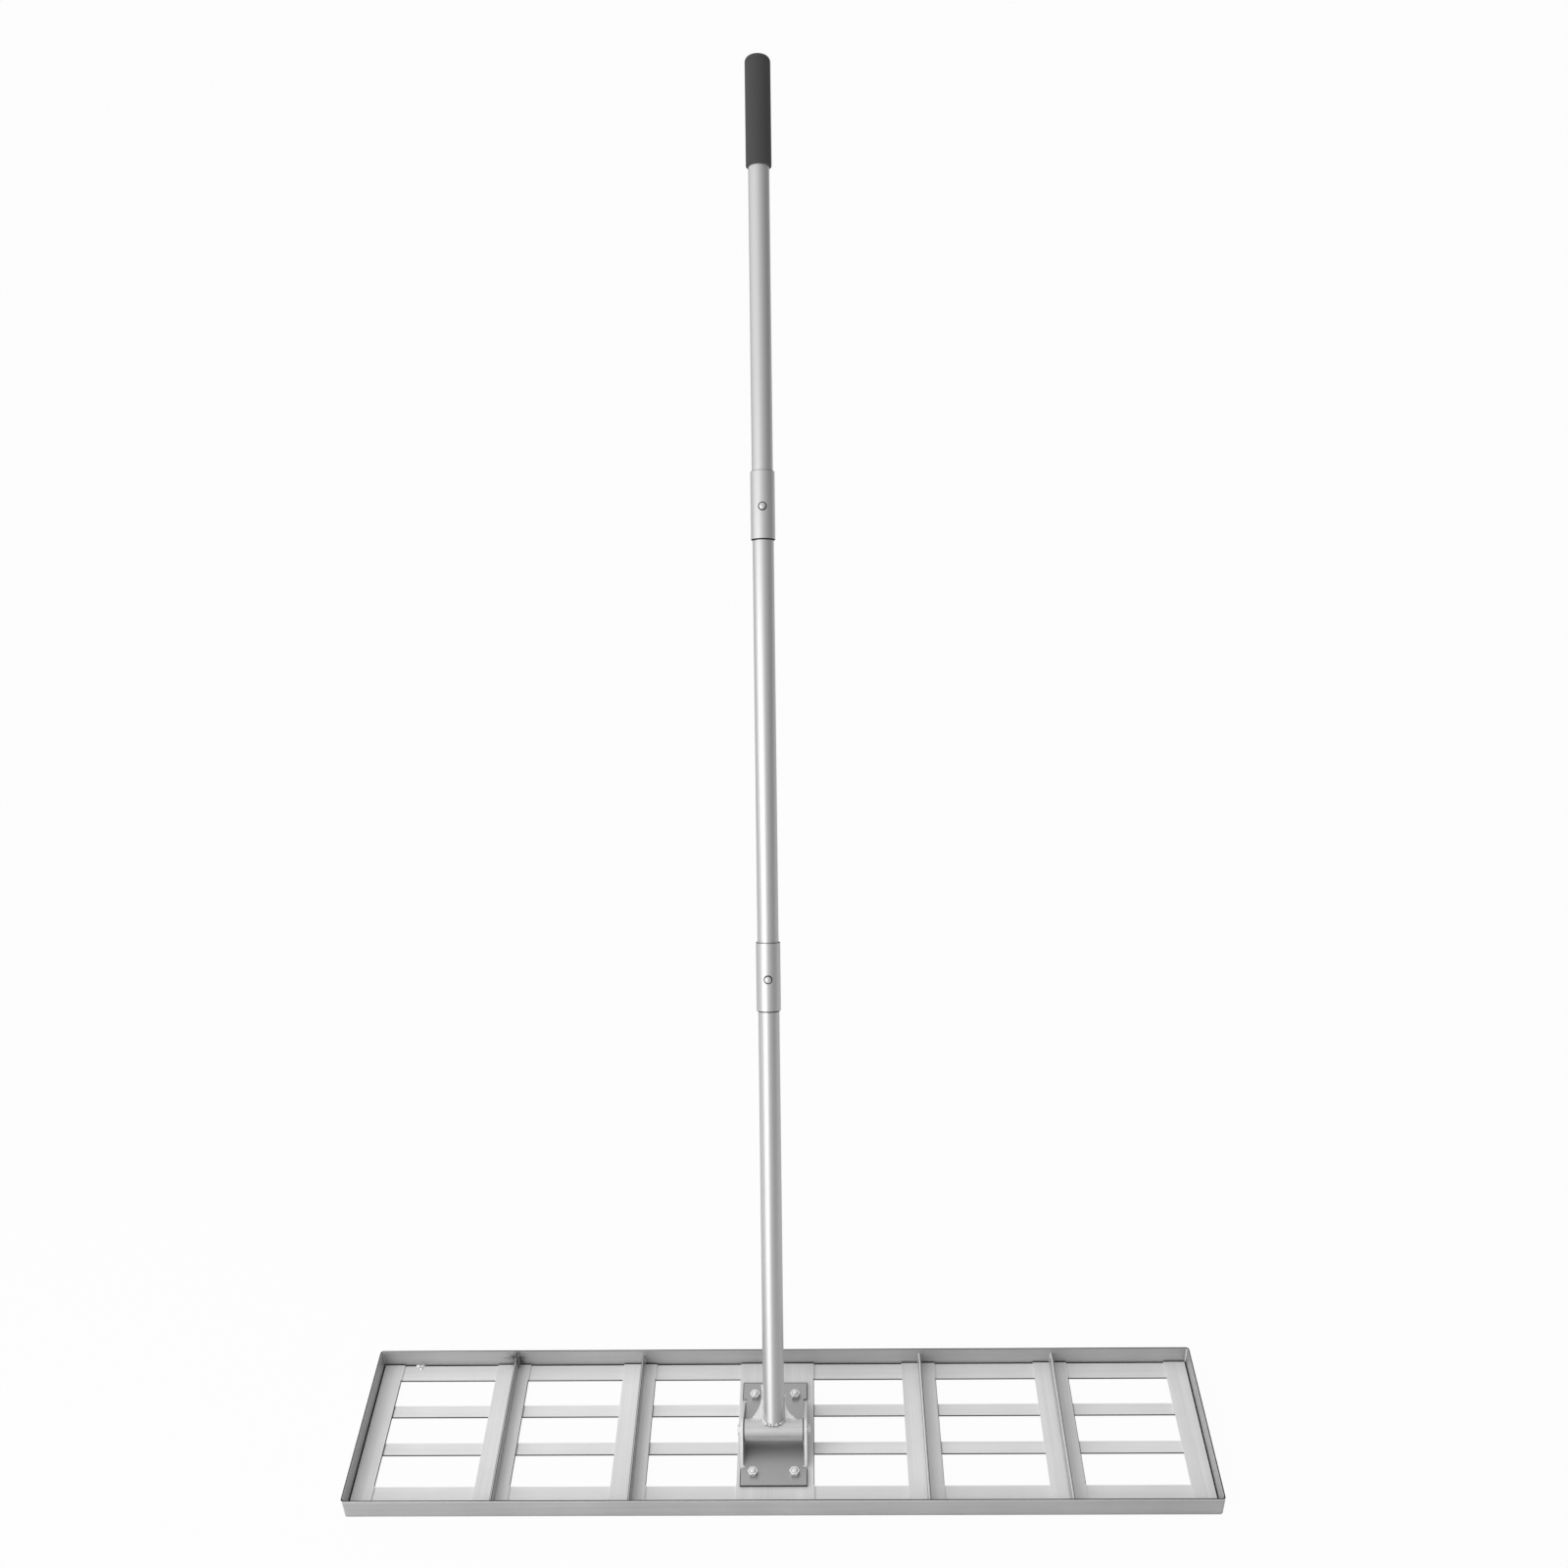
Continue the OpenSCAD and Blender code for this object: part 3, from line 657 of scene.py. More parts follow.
def pattern(tree, across, along=None, axis=Z, turn=NO_TURN, detail=4.0):
    """Noise with a number of cells to the metre, and another number along one axis if it has a grain, turned
    with the piece."""
    cells = [across, across, across]
    cells[axis] = along or across
    where = tree.nodes.new("ShaderNodeTexCoord")
    mapping = add_node(tree, "ShaderNodeMapping", vector_type="TEXTURE", Rotation=turn,
                       Scale=[1 / count for count in cells])
    noise = add_node(tree, "ShaderNodeTexNoise", Scale=1.0, Detail=detail, Roughness=0.6)
    tree.links.new(where.outputs["Object"], mapping.inputs["Vector"])
    tree.links.new(mapping.outputs["Vector"], noise.inputs["Vector"])
    return noise.outputs["Fac"]


def spread(tree, value, low, high=1.0):
    """A noise value, mapped from its usual reach to a range."""
    return ranged(tree, value, NOISE_REACH, (low, high))


def toned(tree, colour, values):
    """A colour times several values."""
    last = None
    for value in values:
        mix = add_node(tree, "ShaderNodeMix", data_type="RGBA", blend_type="MULTIPLY", Factor=1.0)
        if last:
            tree.links.new(last, mix.inputs[MIX_FIRST])
        else:
            mix.inputs[MIX_FIRST].default_value = (*colour, 1)
        tree.links.new(value, mix.inputs[MIX_SECOND])
        last = mix.outputs[MIX_RESULT]
    return last


def raised(tree, value, depth, strength):
    """A surface that a value raises by a depth in metres."""
    bump = add_node(tree, "ShaderNodeBump", Strength=strength, Distance=depth)
    tree.links.new(value, bump.inputs["Height"])
    return bump.outputs["Normal"]


def surface(tree, shader, colour, tones, rough, bump, metal=0.0):
    """Gives a shader its colour with its tones, its roughness, its bump and how metallic it is."""
    shader.inputs["Metallic"].default_value = metal
    tree.links.new(toned(tree, colour, tones), shader.inputs["Base Color"])
    tree.links.new(rough, shader.inputs["Roughness"])
    tree.links.new(bump, shader.inputs["Normal"])


def scorched(tree):
    """Darkening round the left outer rib's rear end, where it was welded to the rim's inner face."""
    lo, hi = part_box("left_outer_rib")
    reach = settings().plate.scorch
    ragged = 0.3 * reach
    darkest = 0.15
    where = tree.nodes.new("ShaderNodeTexCoord")
    apart = add_node(tree, "ShaderNodeVectorMath", operation="DISTANCE")
    apart.inputs[1].default_value = ((lo.x + hi.x) / 2, hi.y, (lo.z + 2 * hi.z) / 3)
    tree.links.new(where.outputs["Object"], apart.inputs[0])
    edge = spread(tree, pattern(tree, across=120), -ragged, ragged)
    away = worked_out(tree, "ADD", apart.outputs["Value"], edge)
    fade = ranged(tree, away, (0, reach), (darkest, 1), interpolation_type="SMOOTHSTEP")
    split = tree.nodes.new("ShaderNodeSeparateXYZ")
    tree.links.new(where.outputs["Object"], split.inputs[0])
    outside = worked_out(tree, "GREATER_THAN", split.outputs["Y"], hi.y + MM)
    return worked_out(tree, "MAXIMUM", fade, outside)


def brushed_steel(name, colour, rough, lengthwise, turn=NO_TURN, tone=0.06, metal=1.0, gloss=0.5,
                  marks=None):
    """Steel with fine streaks along one axis, soft clouds, and marks if there are any."""
    material, tree, shader = fresh_material(name)
    uneven_rough = 0.05
    cloud_tone = 1.2 * tone
    streaks = pattern(tree, across=380, along=3, axis=lengthwise, turn=turn, detail=5)
    bands = pattern(tree, across=60, along=1.2, axis=lengthwise, turn=turn, detail=3)
    clouds = pattern(tree, across=7, turn=turn, detail=3)
    tones = [spread(tree, streaks, 1 - tone), spread(tree, bands, 1 - tone),
             spread(tree, clouds, 1 - cloud_tone)]
    if marks:
        tones.append(marks(tree))
    shader.inputs["Specular IOR Level"].default_value = gloss
    surface(tree, shader, colour, tones, metal=metal,
            rough=spread(tree, streaks, rough - uneven_rough, rough + uneven_rough),
            bump=raised(tree, streaks, depth=0.02 * MM, strength=0.25))
    return material


def sheared_edge_and_shade(name, colour):
    """Dull, dark edge left by the shear, with upright tear marks; it is also the painted shade on the sides,
    lines and top edges it is given to.
    """
    material, tree, shader = fresh_material(name)
    tears = pattern(tree, across=900, along=60, axis=Z, detail=3)
    clouds = pattern(tree, across=40)
    surface(tree, shader, colour, [spread(tree, tears, low=0.75), spread(tree, clouds, low=0.85)], metal=1.0,
            rough=spread(tree, tears, low=0.42, high=0.58),
            bump=raised(tree, tears, depth=0.05 * MM, strength=0.4))
    return material


def oxide_and_gap_shade(name, colour):
    """Oxide and dust in the seams between bars, with painted shade; the same near-black finish is the painted
    shade in other gaps and at the feet of parts.
    """
    material, tree, shader = fresh_material(name)
    grime_and_shade = pattern(tree, across=260, detail=6)
    surface(tree, shader, colour, [spread(tree, grime_and_shade, low=0.5)], metal=0.3,
            rough=spread(tree, grime_and_shade, low=0.6, high=0.85),
            bump=raised(tree, grime_and_shade, depth=0.1 * MM, strength=0.5))
    return material


def worn_edge_and_highlight(name, colour, rough, metal):
    """Steel rubbed bright, with a slight orange peel and fine scuffs; it is also the painted highlight on the
    edges and tops it is given to.
    """
    material, tree, shader = fresh_material(name)
    smoother = 0.04
    rougher = 0.08
    peel = pattern(tree, across=700, detail=2)
    scuffs = pattern(tree, across=160, detail=6)
    surface(tree, shader, colour, [spread(tree, scuffs, low=0.88)], metal=metal,
            rough=spread(tree, scuffs, rough - smoother, rough + rougher),
            bump=raised(tree, peel, depth=0.02 * MM, strength=0.2))
    return material


def weld_metal(name, colour, metal):
    """Weld beads with fine solidified ripples and duller valleys."""
    material, tree, shader = fresh_material(name)
    ripples = pattern(tree, across=900)
    soot = pattern(tree, across=330, detail=2)
    surface(tree, shader, colour, [spread(tree, soot, low=0.4)], metal=metal,
            rough=spread(tree, soot, low=0.42, high=0.22),
            bump=raised(tree, ripples, depth=0.1 * MM, strength=0.5))
    return material


def grip_foam(name, colour):
    """Soft charcoal grip with closed pores, faint rubbing and a matt skin."""
    material, tree, shader = fresh_material(name)
    pores = pattern(tree, across=1100, turn=HANDLE_TURN, detail=5)
    rubbing = pattern(tree, across=60, along=14, axis=Z, turn=HANDLE_TURN)
    surface(tree, shader, colour, [spread(tree, pores, low=0.82), spread(tree, rubbing, low=0.88)],
            rough=spread(tree, rubbing, low=0.62, high=0.78),
            bump=raised(tree, pores, depth=0.12 * MM, strength=0.35))
    return material


def finish(name):
    """A finish by name, made on its first use. The plain bracket_steel, handle_steel, bright_steel and
    bush_plastic come with the frame."""
    known = bpy.data.materials.get(name)
    if known:
        return known
    look = settings().finish
    plate = {"metal": look.plate_metal, "gloss": look.plate_gloss, "marks": scorched}
    rim = {"tone": look.rim_mottle, "metal": look.rim_metal, "marks": scorched}
    makers = {
        "plate_steel_x": lambda: brushed_steel(name, look.plate, look.plate_rough, X, **plate),
        "plate_steel_y": lambda: brushed_steel(name, look.plate, look.plate_rough, Y, tone=look.mottle,
                                               **plate),
        # The rims' and ribs' steel is the plate's, darker as painted shade.
        "rim_steel_shaded_x": lambda: brushed_steel(name, look.rim, look.plate_rough, X, **rim),
        "rim_steel_shaded_y": lambda: brushed_steel(name, look.rim, look.plate_rough, Y, **rim),
        "pivot_steel": lambda: brushed_steel(name, look.pivot, look.pivot_rough, X, metal=look.pivot_metal),
        "gusset_steel": lambda: brushed_steel(name, look.gusset, look.gusset_rough, Z, HANDLE_TURN,
                                              metal=look.wear_and_highlight_metal),
        "worn_edge_and_highlight": lambda: worn_edge_and_highlight(name, look.worn, look.wear_and_highlight_rough, look.wear_and_highlight_metal),
        "cut_edge_and_shade": lambda: sheared_edge_and_shade(name, look.cut),
        "oxide_and_gap_shade": lambda: oxide_and_gap_shade(name, look.seam),
        "weld_metal": lambda: weld_metal(name, look.weld, look.weld_metal),
        "grip_foam": lambda: grip_foam(name, look.grip),
    }
    return makers[name]()


# Drag plate


def long_rim(node, side):
    """A long rim on edge, with its ends bent round the plate's corners."""
    sizes = settings().plate
    lo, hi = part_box(node)
    outer = lo.y if side < 0 else hi.y
    inner = outer - side * wide("left_rim")
    tips = outer - side * sizes.corner
    start = Vector((lo.x + sizes.corner, min(outer, inner), lo.z))
    stop = Vector((hi.x - sizes.corner, max(outer, inner), hi.z))
    piece = block(f"{node}_bar", start, stop)
    for end, bend in ((-1, start.x), (1, stop.x)):
        edit(piece)
        pick("FACE", lambda face: abs(face.calc_center_median().x - bend) < SAME)
        bpy.ops.mesh.spin(steps=BEND_STEPS, angle=side * end * math.pi / 2, center=(bend, tips, 0),
                          axis=(0, 0, 1))
        tidy_mesh()
    score(Z, lo.z + sizes.grime_and_shade)
    clear()
    soften(piece, sizes.rim_edge, ROLLED_SEGMENTS)
    # Each long rim's top edge, all but its front bevel, gets painted shade; on the front rim that front bevel
    # gets a painted highlight with wear.
    worn = (lambda way: way.y < -LEANING and way.z > LEANING) if side < 0 else None
    rim_finish(piece, "rim_steel_shaded_x", lo.z, hi.z, lambda way: way.y > -LEANING, worn)
    # Painted highlight, with wear, on the upright corner faces that face the front left, towards the key
    # light.
    bright = Vector((-1, -1, 0)).normalized()
    paint(piece, "worn_edge_and_highlight", lambda face: face.normal.dot(bright) > FACING and abs(face.normal.z) < SIDE_ON)
    paint(piece, "cut_edge_and_shade",
          lambda face: abs(face.center.y - tips) < sizes.line and face.center.x * face.normal.x < 0)
    place(piece, "plate", "plate_steel", node)


def rim_finish(piece, main, foot, top, in_shade, worn=None):
    """Gives a rim or rib its steel, darkened as painted shade, and a foot of grime with painted shade. The
    parts of its top edge whose way passes a test get painted shade, or a painted highlight with wear."""
    sizes = settings().plate
    dress(piece, main, "worn_edge_and_highlight", "cut_edge_and_shade", "oxide_and_gap_shade")

    def at_top(face):
        return face.center.z > top - sizes.rim_edge

    if worn:
        # Painted highlight, with wear.
        paint(piece, "worn_edge_and_highlight", lambda face: at_top(face) and worn(face.normal))
    # Painted shade.
    paint(piece, "cut_edge_and_shade", lambda face: at_top(face) and in_shade(face.normal))
    # Grime with painted shade along the foot.
    paint(piece, "oxide_and_gap_shade", lambda face: face.center.z < foot + sizes.grime_and_shade)


def end_rim(node, side):
    """An end rim on edge between the long rims' corners."""
    sizes = settings().plate
    lo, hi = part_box(node)
    piece = block(f"{node}_bar", lo, hi)
    edit(piece)
    pick("EDGE", lambda edge: abs((edge.verts[0].co - edge.verts[1].co).y) > SAME)
    bpy.ops.mesh.bevel(offset=sizes.rim_edge, segments=ROLLED_SEGMENTS, affect="EDGES")
    score(Z, lo.z + sizes.grime_and_shade)
    clear()
    smooth(piece)
    # The top edge, all but its inner bevel, gets painted shade; the foot gets grime with painted shade.
    rim_finish(piece, "rim_steel_shaded_y", lo.z, hi.z, lambda way: side * way.x > -LEANING)
    place(piece, "plate", "plate_steel", node)


def flat_bar(node, lengthwise, seams=(), corners=(), bare=None):
    """A flat bar with dark sheared sides on its right and front, whose dark is painted shade, a line of
    painted shade along its top's right edge, dark seams of oxide and painted shade at the rim with a painted
    highlight beside them, and round corners.

    A seam is an (axis, side) pair, and a corner a (side in X, side in Y) pair. The sides are dark only
    between the two Y places in bare, if there are any."""
    sizes = settings().plate
    lo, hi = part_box(node)
    ends = {-1: lo, 1: hi}
    right = hi.x - sizes.line
    lined = sizes.seam + sizes.line
    piece = block(f"{node}_bar", lo, hi)
    main = "plate_steel_x" if lengthwise == X else "plate_steel_y"
    dress(piece, main, "cut_edge_and_shade", "oxide_and_gap_shade", "worn_edge_and_highlight")
    edit(piece)
    if corners:
        spots = [Vector((ends[x].x, ends[y].y)) for x, y in corners]
        pick("EDGE", lambda edge: upright_at(edge, spots))
        bpy.ops.mesh.bevel(offset=sizes.corner, segments=CORNER_SEGMENTS, affect="EDGES")
    for axis, side in seams:
        score(axis, ends[side][axis] - side * sizes.seam)
        score(axis, ends[side][axis] - side * lined)
    for where in bare or ():
        score(Y, where)
    # A line along the top's right edge, for painted shade.
    score(X, right)
    if seams:
        pick("VERT", lambda vert: vert.co.z > hi.z - SAME and in_seam(vert.co, ends, seams, sizes.seam))
        bpy.ops.transform.translate(value=(0, 0, -sizes.seam_drop))
    clear()
    soften(piece, sizes.edge)
    first, last = bare or (lo.y, hi.y)

    def on_top(face, reach):
        return face.normal.z > TURNED and in_seam(face.center, ends, seams, reach)

    def on_side(face):
        return face.normal.x > TURNED or face.normal.y < -TURNED or face.center.x > right

    # A painted highlight, with wear, beside each seam.
    paint(piece, "worn_edge_and_highlight", lambda face: on_top(face, lined))
    # Painted shade over the sheared edge on the right and front sides and the right edge's line.
    paint(piece, "cut_edge_and_shade", lambda face: on_side(face) and first <= face.center.y <= last)
    # The seams: oxide with painted shade.
    paint(piece, "oxide_and_gap_shade", lambda face: on_top(face, sizes.seam))
    return piece


def open_span():
    """The two Y places between which the cross bars lie over the openings, and not on the long borders."""
    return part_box("front_border")[1].y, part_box("rear_border")[0].y


def in_seam(point, ends, seams, reach):
    """Whether a point of a bar lies in one of its seams, which reach in from the bar's ends."""
    return any(side * (ends[side][axis] - point[axis]) < reach - SAME for axis, side in seams)


def upright_at(edge, spots):
    """Whether an edge stands upright at one of some (x, y) spots."""
    a, b = (vert.co for vert in edge.verts)
    return (a - b).xy.length < SAME and any((a.xy - spot).length < SAME for spot in spots)


class RAKE_OT_rims(bpy.types.Operator):
    """Models the four rims"""

    bl_idname = "rake.rims"
    bl_label = "Rims"

    def execute(self, context):
        for node, side in LONG_RIMS.items():
            long_rim(node, side)
        for node, side in END_RIMS.items():
            end_rim(node, side)
        return {"FINISHED"}


class RAKE_OT_borders(bpy.types.Operator):
    """Models the four border bars"""

    bl_idname = "rake.borders"
    bl_label = "Borders"

    def execute(self, context):
        for node, side in LONG_BORDERS.items():
            corners = [(-1, side), (1, side)]
            place(flat_bar(node, X, [(Y, side)], corners), "plate", "plate_steel", node)
        for node, side in END_BORDERS.items():
            corners = [(side, -1), (side, 1)]
            seams = [(X, side), (Y, -1), (Y, 1)]
            place(flat_bar(node, Y, seams, corners, open_span()), "plate", "plate_steel", node)
        return {"FINISHED"}


class RAKE_OT_slats(bpy.types.Operator):
    """Models the two long slats"""

    bl_idname = "rake.slats"
    bl_label = "Slats"

    def execute(self, context):
        for node in SLATS:
            place(flat_bar(node, X), "plate", "plate_steel", node)
        return {"FINISHED"}


class RAKE_OT_straps(bpy.types.Operator):
    """Models the four cross straps and the wide strap under the hinge"""

    bl_idname = "rake.straps"
    bl_label = "Straps"

    def execute(self, context):
        for node in STRAPS:
            piece = flat_bar(node, Y, [(Y, -1), (Y, 1)], bare=open_span())
            place(piece, "plate", "plate_steel", node)
        return {"FINISHED"}


class RAKE_OT_ribs(bpy.types.Operator):
    """Models the four ribs that stand on the straps"""

    bl_idname = "rake.ribs"
    bl_label = "Ribs"

    def execute(self, context):
        sizes = settings().plate
        for node in RIBS:
            lo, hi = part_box(node)
            piece = block(f"{node}_bar", lo, hi)
            edit(piece)
            score(Z, lo.z + sizes.grime_and_shade)
            clear()
            soften(piece, sizes.rim_edge, ROLLED_SEGMENTS)
            # Left ribs: both top bevels get painted shade. Right ribs: the right bevel gets painted shade, the
            # left one a painted highlight with wear.
            if lo.x < PIVOT.x:
                rim_finish(piece, "rim_steel_shaded_y", lo.z, hi.z, lambda way: abs(way.x) > LEANING)
            else:
                rim_finish(piece, "rim_steel_shaded_y", lo.z, hi.z, lambda way: way.x > LEANING,
                           lambda way: way.x < -LEANING)
            place(piece, "plate", "plate_steel", node)
        return {"FINISHED"}


# Hinge


def ear_profile(lo, hi):
    """Side view of the ears as (y, z) pairs: a wide foot that narrows to a round top about the pivot."""
    sizes = settings().hinge
    middle = PIVOT.yz
    feet = [Vector((lo.y + sizes.front_inset, lo.z + sizes.sheet / 2)),
            Vector((hi.y - sizes.rear_inset, lo.z + sizes.sheet / 2))]
    angles = []
    for foot, way in zip(feet, (-1, 1)):
        away = foot - middle
        angles.append(math.degrees(math.atan2(away.y, away.x) + way * math.acos(sizes.ear / away.length)))
    top = arc(middle, sizes.ear, angles[0] % 360, angles[1], EAR_STEPS)
    below = lo.z - PAST
    return [(feet[0].x, below), tuple(feet[0]), *top, tuple(feet[1]), (feet[1].x, below)]


def bracket_section(lo, hi):
    """The bracket's U section as (x, z) pairs."""
    sizes = settings().hinge
    outer = sizes.sheet + sizes.bend
    right = (hi.x - outer, lo.z + outer)
    left = (lo.x + outer, lo.z + outer)
    return [*arc(right, outer, -90, 0, BEND_STEPS), (hi.x, hi.z), (hi.x - sizes.sheet, hi.z),
            *arc(right, sizes.bend, 0, -90, INNER_STEPS), *arc(left, sizes.bend, -90, -180, INNER_STEPS),
            (lo.x + sizes.sheet, hi.z), (lo.x, hi.z), *arc(left, outer, 180, 270, BEND_STEPS)]


def base_outline(lo, hi):
    """Plan of the bracket's base as (x, y) pairs, narrowed between the relief slots."""
    sizes = settings().hinge
    neck = hi.x - (sizes.sheet + sizes.bend)
    front = lo.y + sizes.front_inset - sizes.relief
    rear = hi.y - sizes.rear_inset + sizes.relief
    right = [(hi.x, lo.y), (hi.x, front), (neck, front), (neck, rear), (hi.x, rear), (hi.x, hi.y)]
    left = [(lo.x + hi.x - x, y) for x, y in reversed(right)]
    return right + left


def bolt_places():
    """Where the four bracket bolts stand."""
    lo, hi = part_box("bracket_bolts")
    radius = settings().hinge.bolt_head
    return [Vector((x, y, 0)) for x in (lo.x + radius, hi.x - radius)
            for y in (lo.y + radius, hi.y - radius)]


class RAKE_OT_bracket(bpy.types.Operator):
    """Models the bent hinge bracket"""

    bl_idname = "rake.bracket"
    bl_label = "Hinge bracket"

    def execute(self, context):
        sizes = settings().hinge
        lo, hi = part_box("hinge_bracket")
        reach = hi.x - lo.x
        front = lo.y + sizes.front_inset
        rear = hi.y - sizes.rear_inset
        section = [Vector((x, front, z)) for x, z in bracket_section(lo, hi)]
        piece = cut_sheet("bent_bracket", section, Vector((0, rear - front, 0)))
        outline = [Vector((lo.x - PAST, y, z)) for y, z in ear_profile(lo, hi)]
        combine(piece, cut_sheet("ear_cutter", outline, Vector((reach + 2 * PAST, 0, 0))), "INTERSECT")
        plan = [Vector((x, y, lo.z)) for x, y in base_outline(lo, hi)]
        combine(piece, cut_sheet("base_blank", plan, Vector((0, 0, sizes.sheet))), "UNION")
        for spot in bolt_places():
            drill = rod("bolt_drill", sizes.bolt, 0, hi.z, DRILL_STEPS)
            combine(piece, stand(drill, NO_TURN, spot), "DIFFERENCE")
        drill = rod("pivot_drill", sizes.bolt, -reach, reach, DRILL_STEPS)
        combine(piece, stand(drill, ACROSS_TURN, PIVOT), "DIFFERENCE")
        edit(piece)
        # Lines along the base's sides and rear, for its outline of painted shadow.
        score(X, hi.x - sizes.outline)
        score(X, lo.x + sizes.outline)
        score(Y, hi.y - sizes.outline)
        clear()
        soften(piece, sizes.edge)
        self.dress_up(piece, lo, hi)
        place(piece, "plate", "bracket_steel", "hinge_bracket")
        return {"FINISHED"}

    def dress_up(self, piece, lo, hi):
        """The base's dark sides and outline, which are painted shade and painted shadow, and the edges that
        are rubbed bright, which are also a painted highlight.
        """
        sizes = settings().hinge
        base = lo.z + sizes.sheet
        drop = sizes.outline_drop
        dress(piece, "bracket_steel", "cut_edge_and_shade", "worn_edge_and_highlight")

        def low(face):
            return face.center.z < base + SAME

        def on_side(face):
            return face.normal.z < TURNED and not lo.y + drop < face.center.y < hi.y - drop

        def on_shadow_outline(face):
            return not (lo.x + sizes.outline < face.center.x < hi.x - sizes.outline
                        and face.center.y < hi.y - sizes.outline)

        # Painted highlight, with wear, on the bevel round the base's top.
        paint(piece, "worn_edge_and_highlight", lambda face: low(face) and TURNED < face.normal.z < SQUARE_ON)
        # Painted shade on the base's sides at its front and rear, and painted shadow along its side and rear
        # edges.
        paint(piece, "cut_edge_and_shade", lambda face: low(face) and (on_side(face) or on_shadow_outline(face)))
        # The ears' edges, rubbed bright, are also a painted highlight.
        paint(piece, "worn_edge_and_highlight",
              lambda face: abs(face.normal.x) < FACING and face.center.z > base + sizes.bend)


def threaded_end(first, last):
    """Profile of a bolt's threads and chamfered end between two heights, as (radius, height) pairs."""
    sizes = settings().hinge
    radius = sizes.bolt
    root = radius - THREAD_DEPTH * sizes.pitch
    top = last - sizes.chamfer
    count = max(1, round((top - first) / sizes.pitch))
    step = (top - first) / count
    points = []
    for turn in range(count):
        height = first + turn * step
        points.append((root, height))
        points += [(radius, height + part * step) for part in THREAD_CREST]
    return [*points, (root, top), (radius - 2 * sizes.chamfer, last), (0, last)]


def hex_blank(name, height):
    """A six-sided blank on the origin, with both faces chamfered to a circle."""
    flats = settings().hinge.flats
    corner = flats / math.sqrt(3)
    clear()
    bpy.ops.mesh.primitive_cylinder_add(vertices=HEX_SIDES, radius=corner, depth=height,
                                        location=(0, 0, height / 2), rotation=(0, 0, math.pi / HEX_SIDES))
    piece = started(name)
    face = NUT_FACE * flats
    drop = (corner - face) * math.tan(NUT_SLOPE)
    barrel = [(0, 0), (face, 0), (corner, drop), (corner, height - drop), (face, height), (0, height)]
    combine(piece, turned("barrel", barrel), "INTERSECT")
    return piece


def hex_nut(name, height):
    """A six-sided nut on the origin, with its bore countersunk."""
    sizes = settings().hinge
    piece = hex_blank(name, height)
    bore = sizes.bolt
    sink = sizes.sink
    hole = [(0, -PAST), (bore + sink, -PAST), (bore + sink, 0), (bore, sink), (bore, height - sink),
            (bore + sink, height), (bore + sink, height + PAST), (0, height + PAST)]
    combine(piece, turned("bore", hole), "DIFFERENCE")
    return piece


class RAKE_OT_bracket_fasteners(bpy.types.Operator):
    """Models the four bracket bolts and their nuts"""

    bl_idname = "rake.bracket_fasteners"
    bl_label = "Bracket fasteners"

    def execute(self, context):
        sizes = settings().hinge
        head = sizes.bolt_head
        rim = sizes.head_rim
        lo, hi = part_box("bracket_bolts")
        nut_lo, nut_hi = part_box("bracket_nuts")
        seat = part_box("center_strap")[0].z
        spots = bolt_places()
        profile = [(0, lo.z), (head - 2 * rim, lo.z), (head, lo.z + rim), (head, seat), (sizes.bolt, seat),
                   (sizes.bolt, nut_lo.z), *threaded_end(nut_lo.z, hi.z)]
        bolt = turned("bolt", profile, FASTENER_STEPS)
        nut = stand(hex_nut("nut", nut_hi.z - nut_lo.z), NO_TURN, (0, 0, nut_lo.z))
        for name, first, node in (("bracket_bolt_set", bolt, "bracket_bolts"),
                                  ("bracket_nut_set", nut, "bracket_nuts")):
            pieces = [copied(first, name, spot) for spot in spots]
            bpy.data.objects.remove(first)
            piece = joined(pieces)
            soften(piece, sizes.fastener_edge)
            dress(piece, "bright_steel", "oxide_and_gap_shade", "worn_edge_and_highlight")
            # Painted highlight, with wear, on the tops of the bolts and nuts.
            paint(piece, "worn_edge_and_highlight", lambda face: face.normal.z > TURNED)
            # Painted shade in each nut's bore and along its foot.
            if node == "bracket_nuts":
                paint(piece, "oxide_and_gap_shade", lambda face: self.in_gap(face.center, nut_lo.z, spots))
            place(piece, "plate", "bright_steel", node)
        return {"FINISHED"}

    def in_gap(self, point, foot, spots):
        """Whether a point of a nut is in its countersunk bore or at its foot."""
        sizes = settings().hinge
        away = min((point.xy - spot.xy).length for spot in spots)
        return away < sizes.bolt + sizes.nut_ring or point.z < foot + sizes.nut_foot


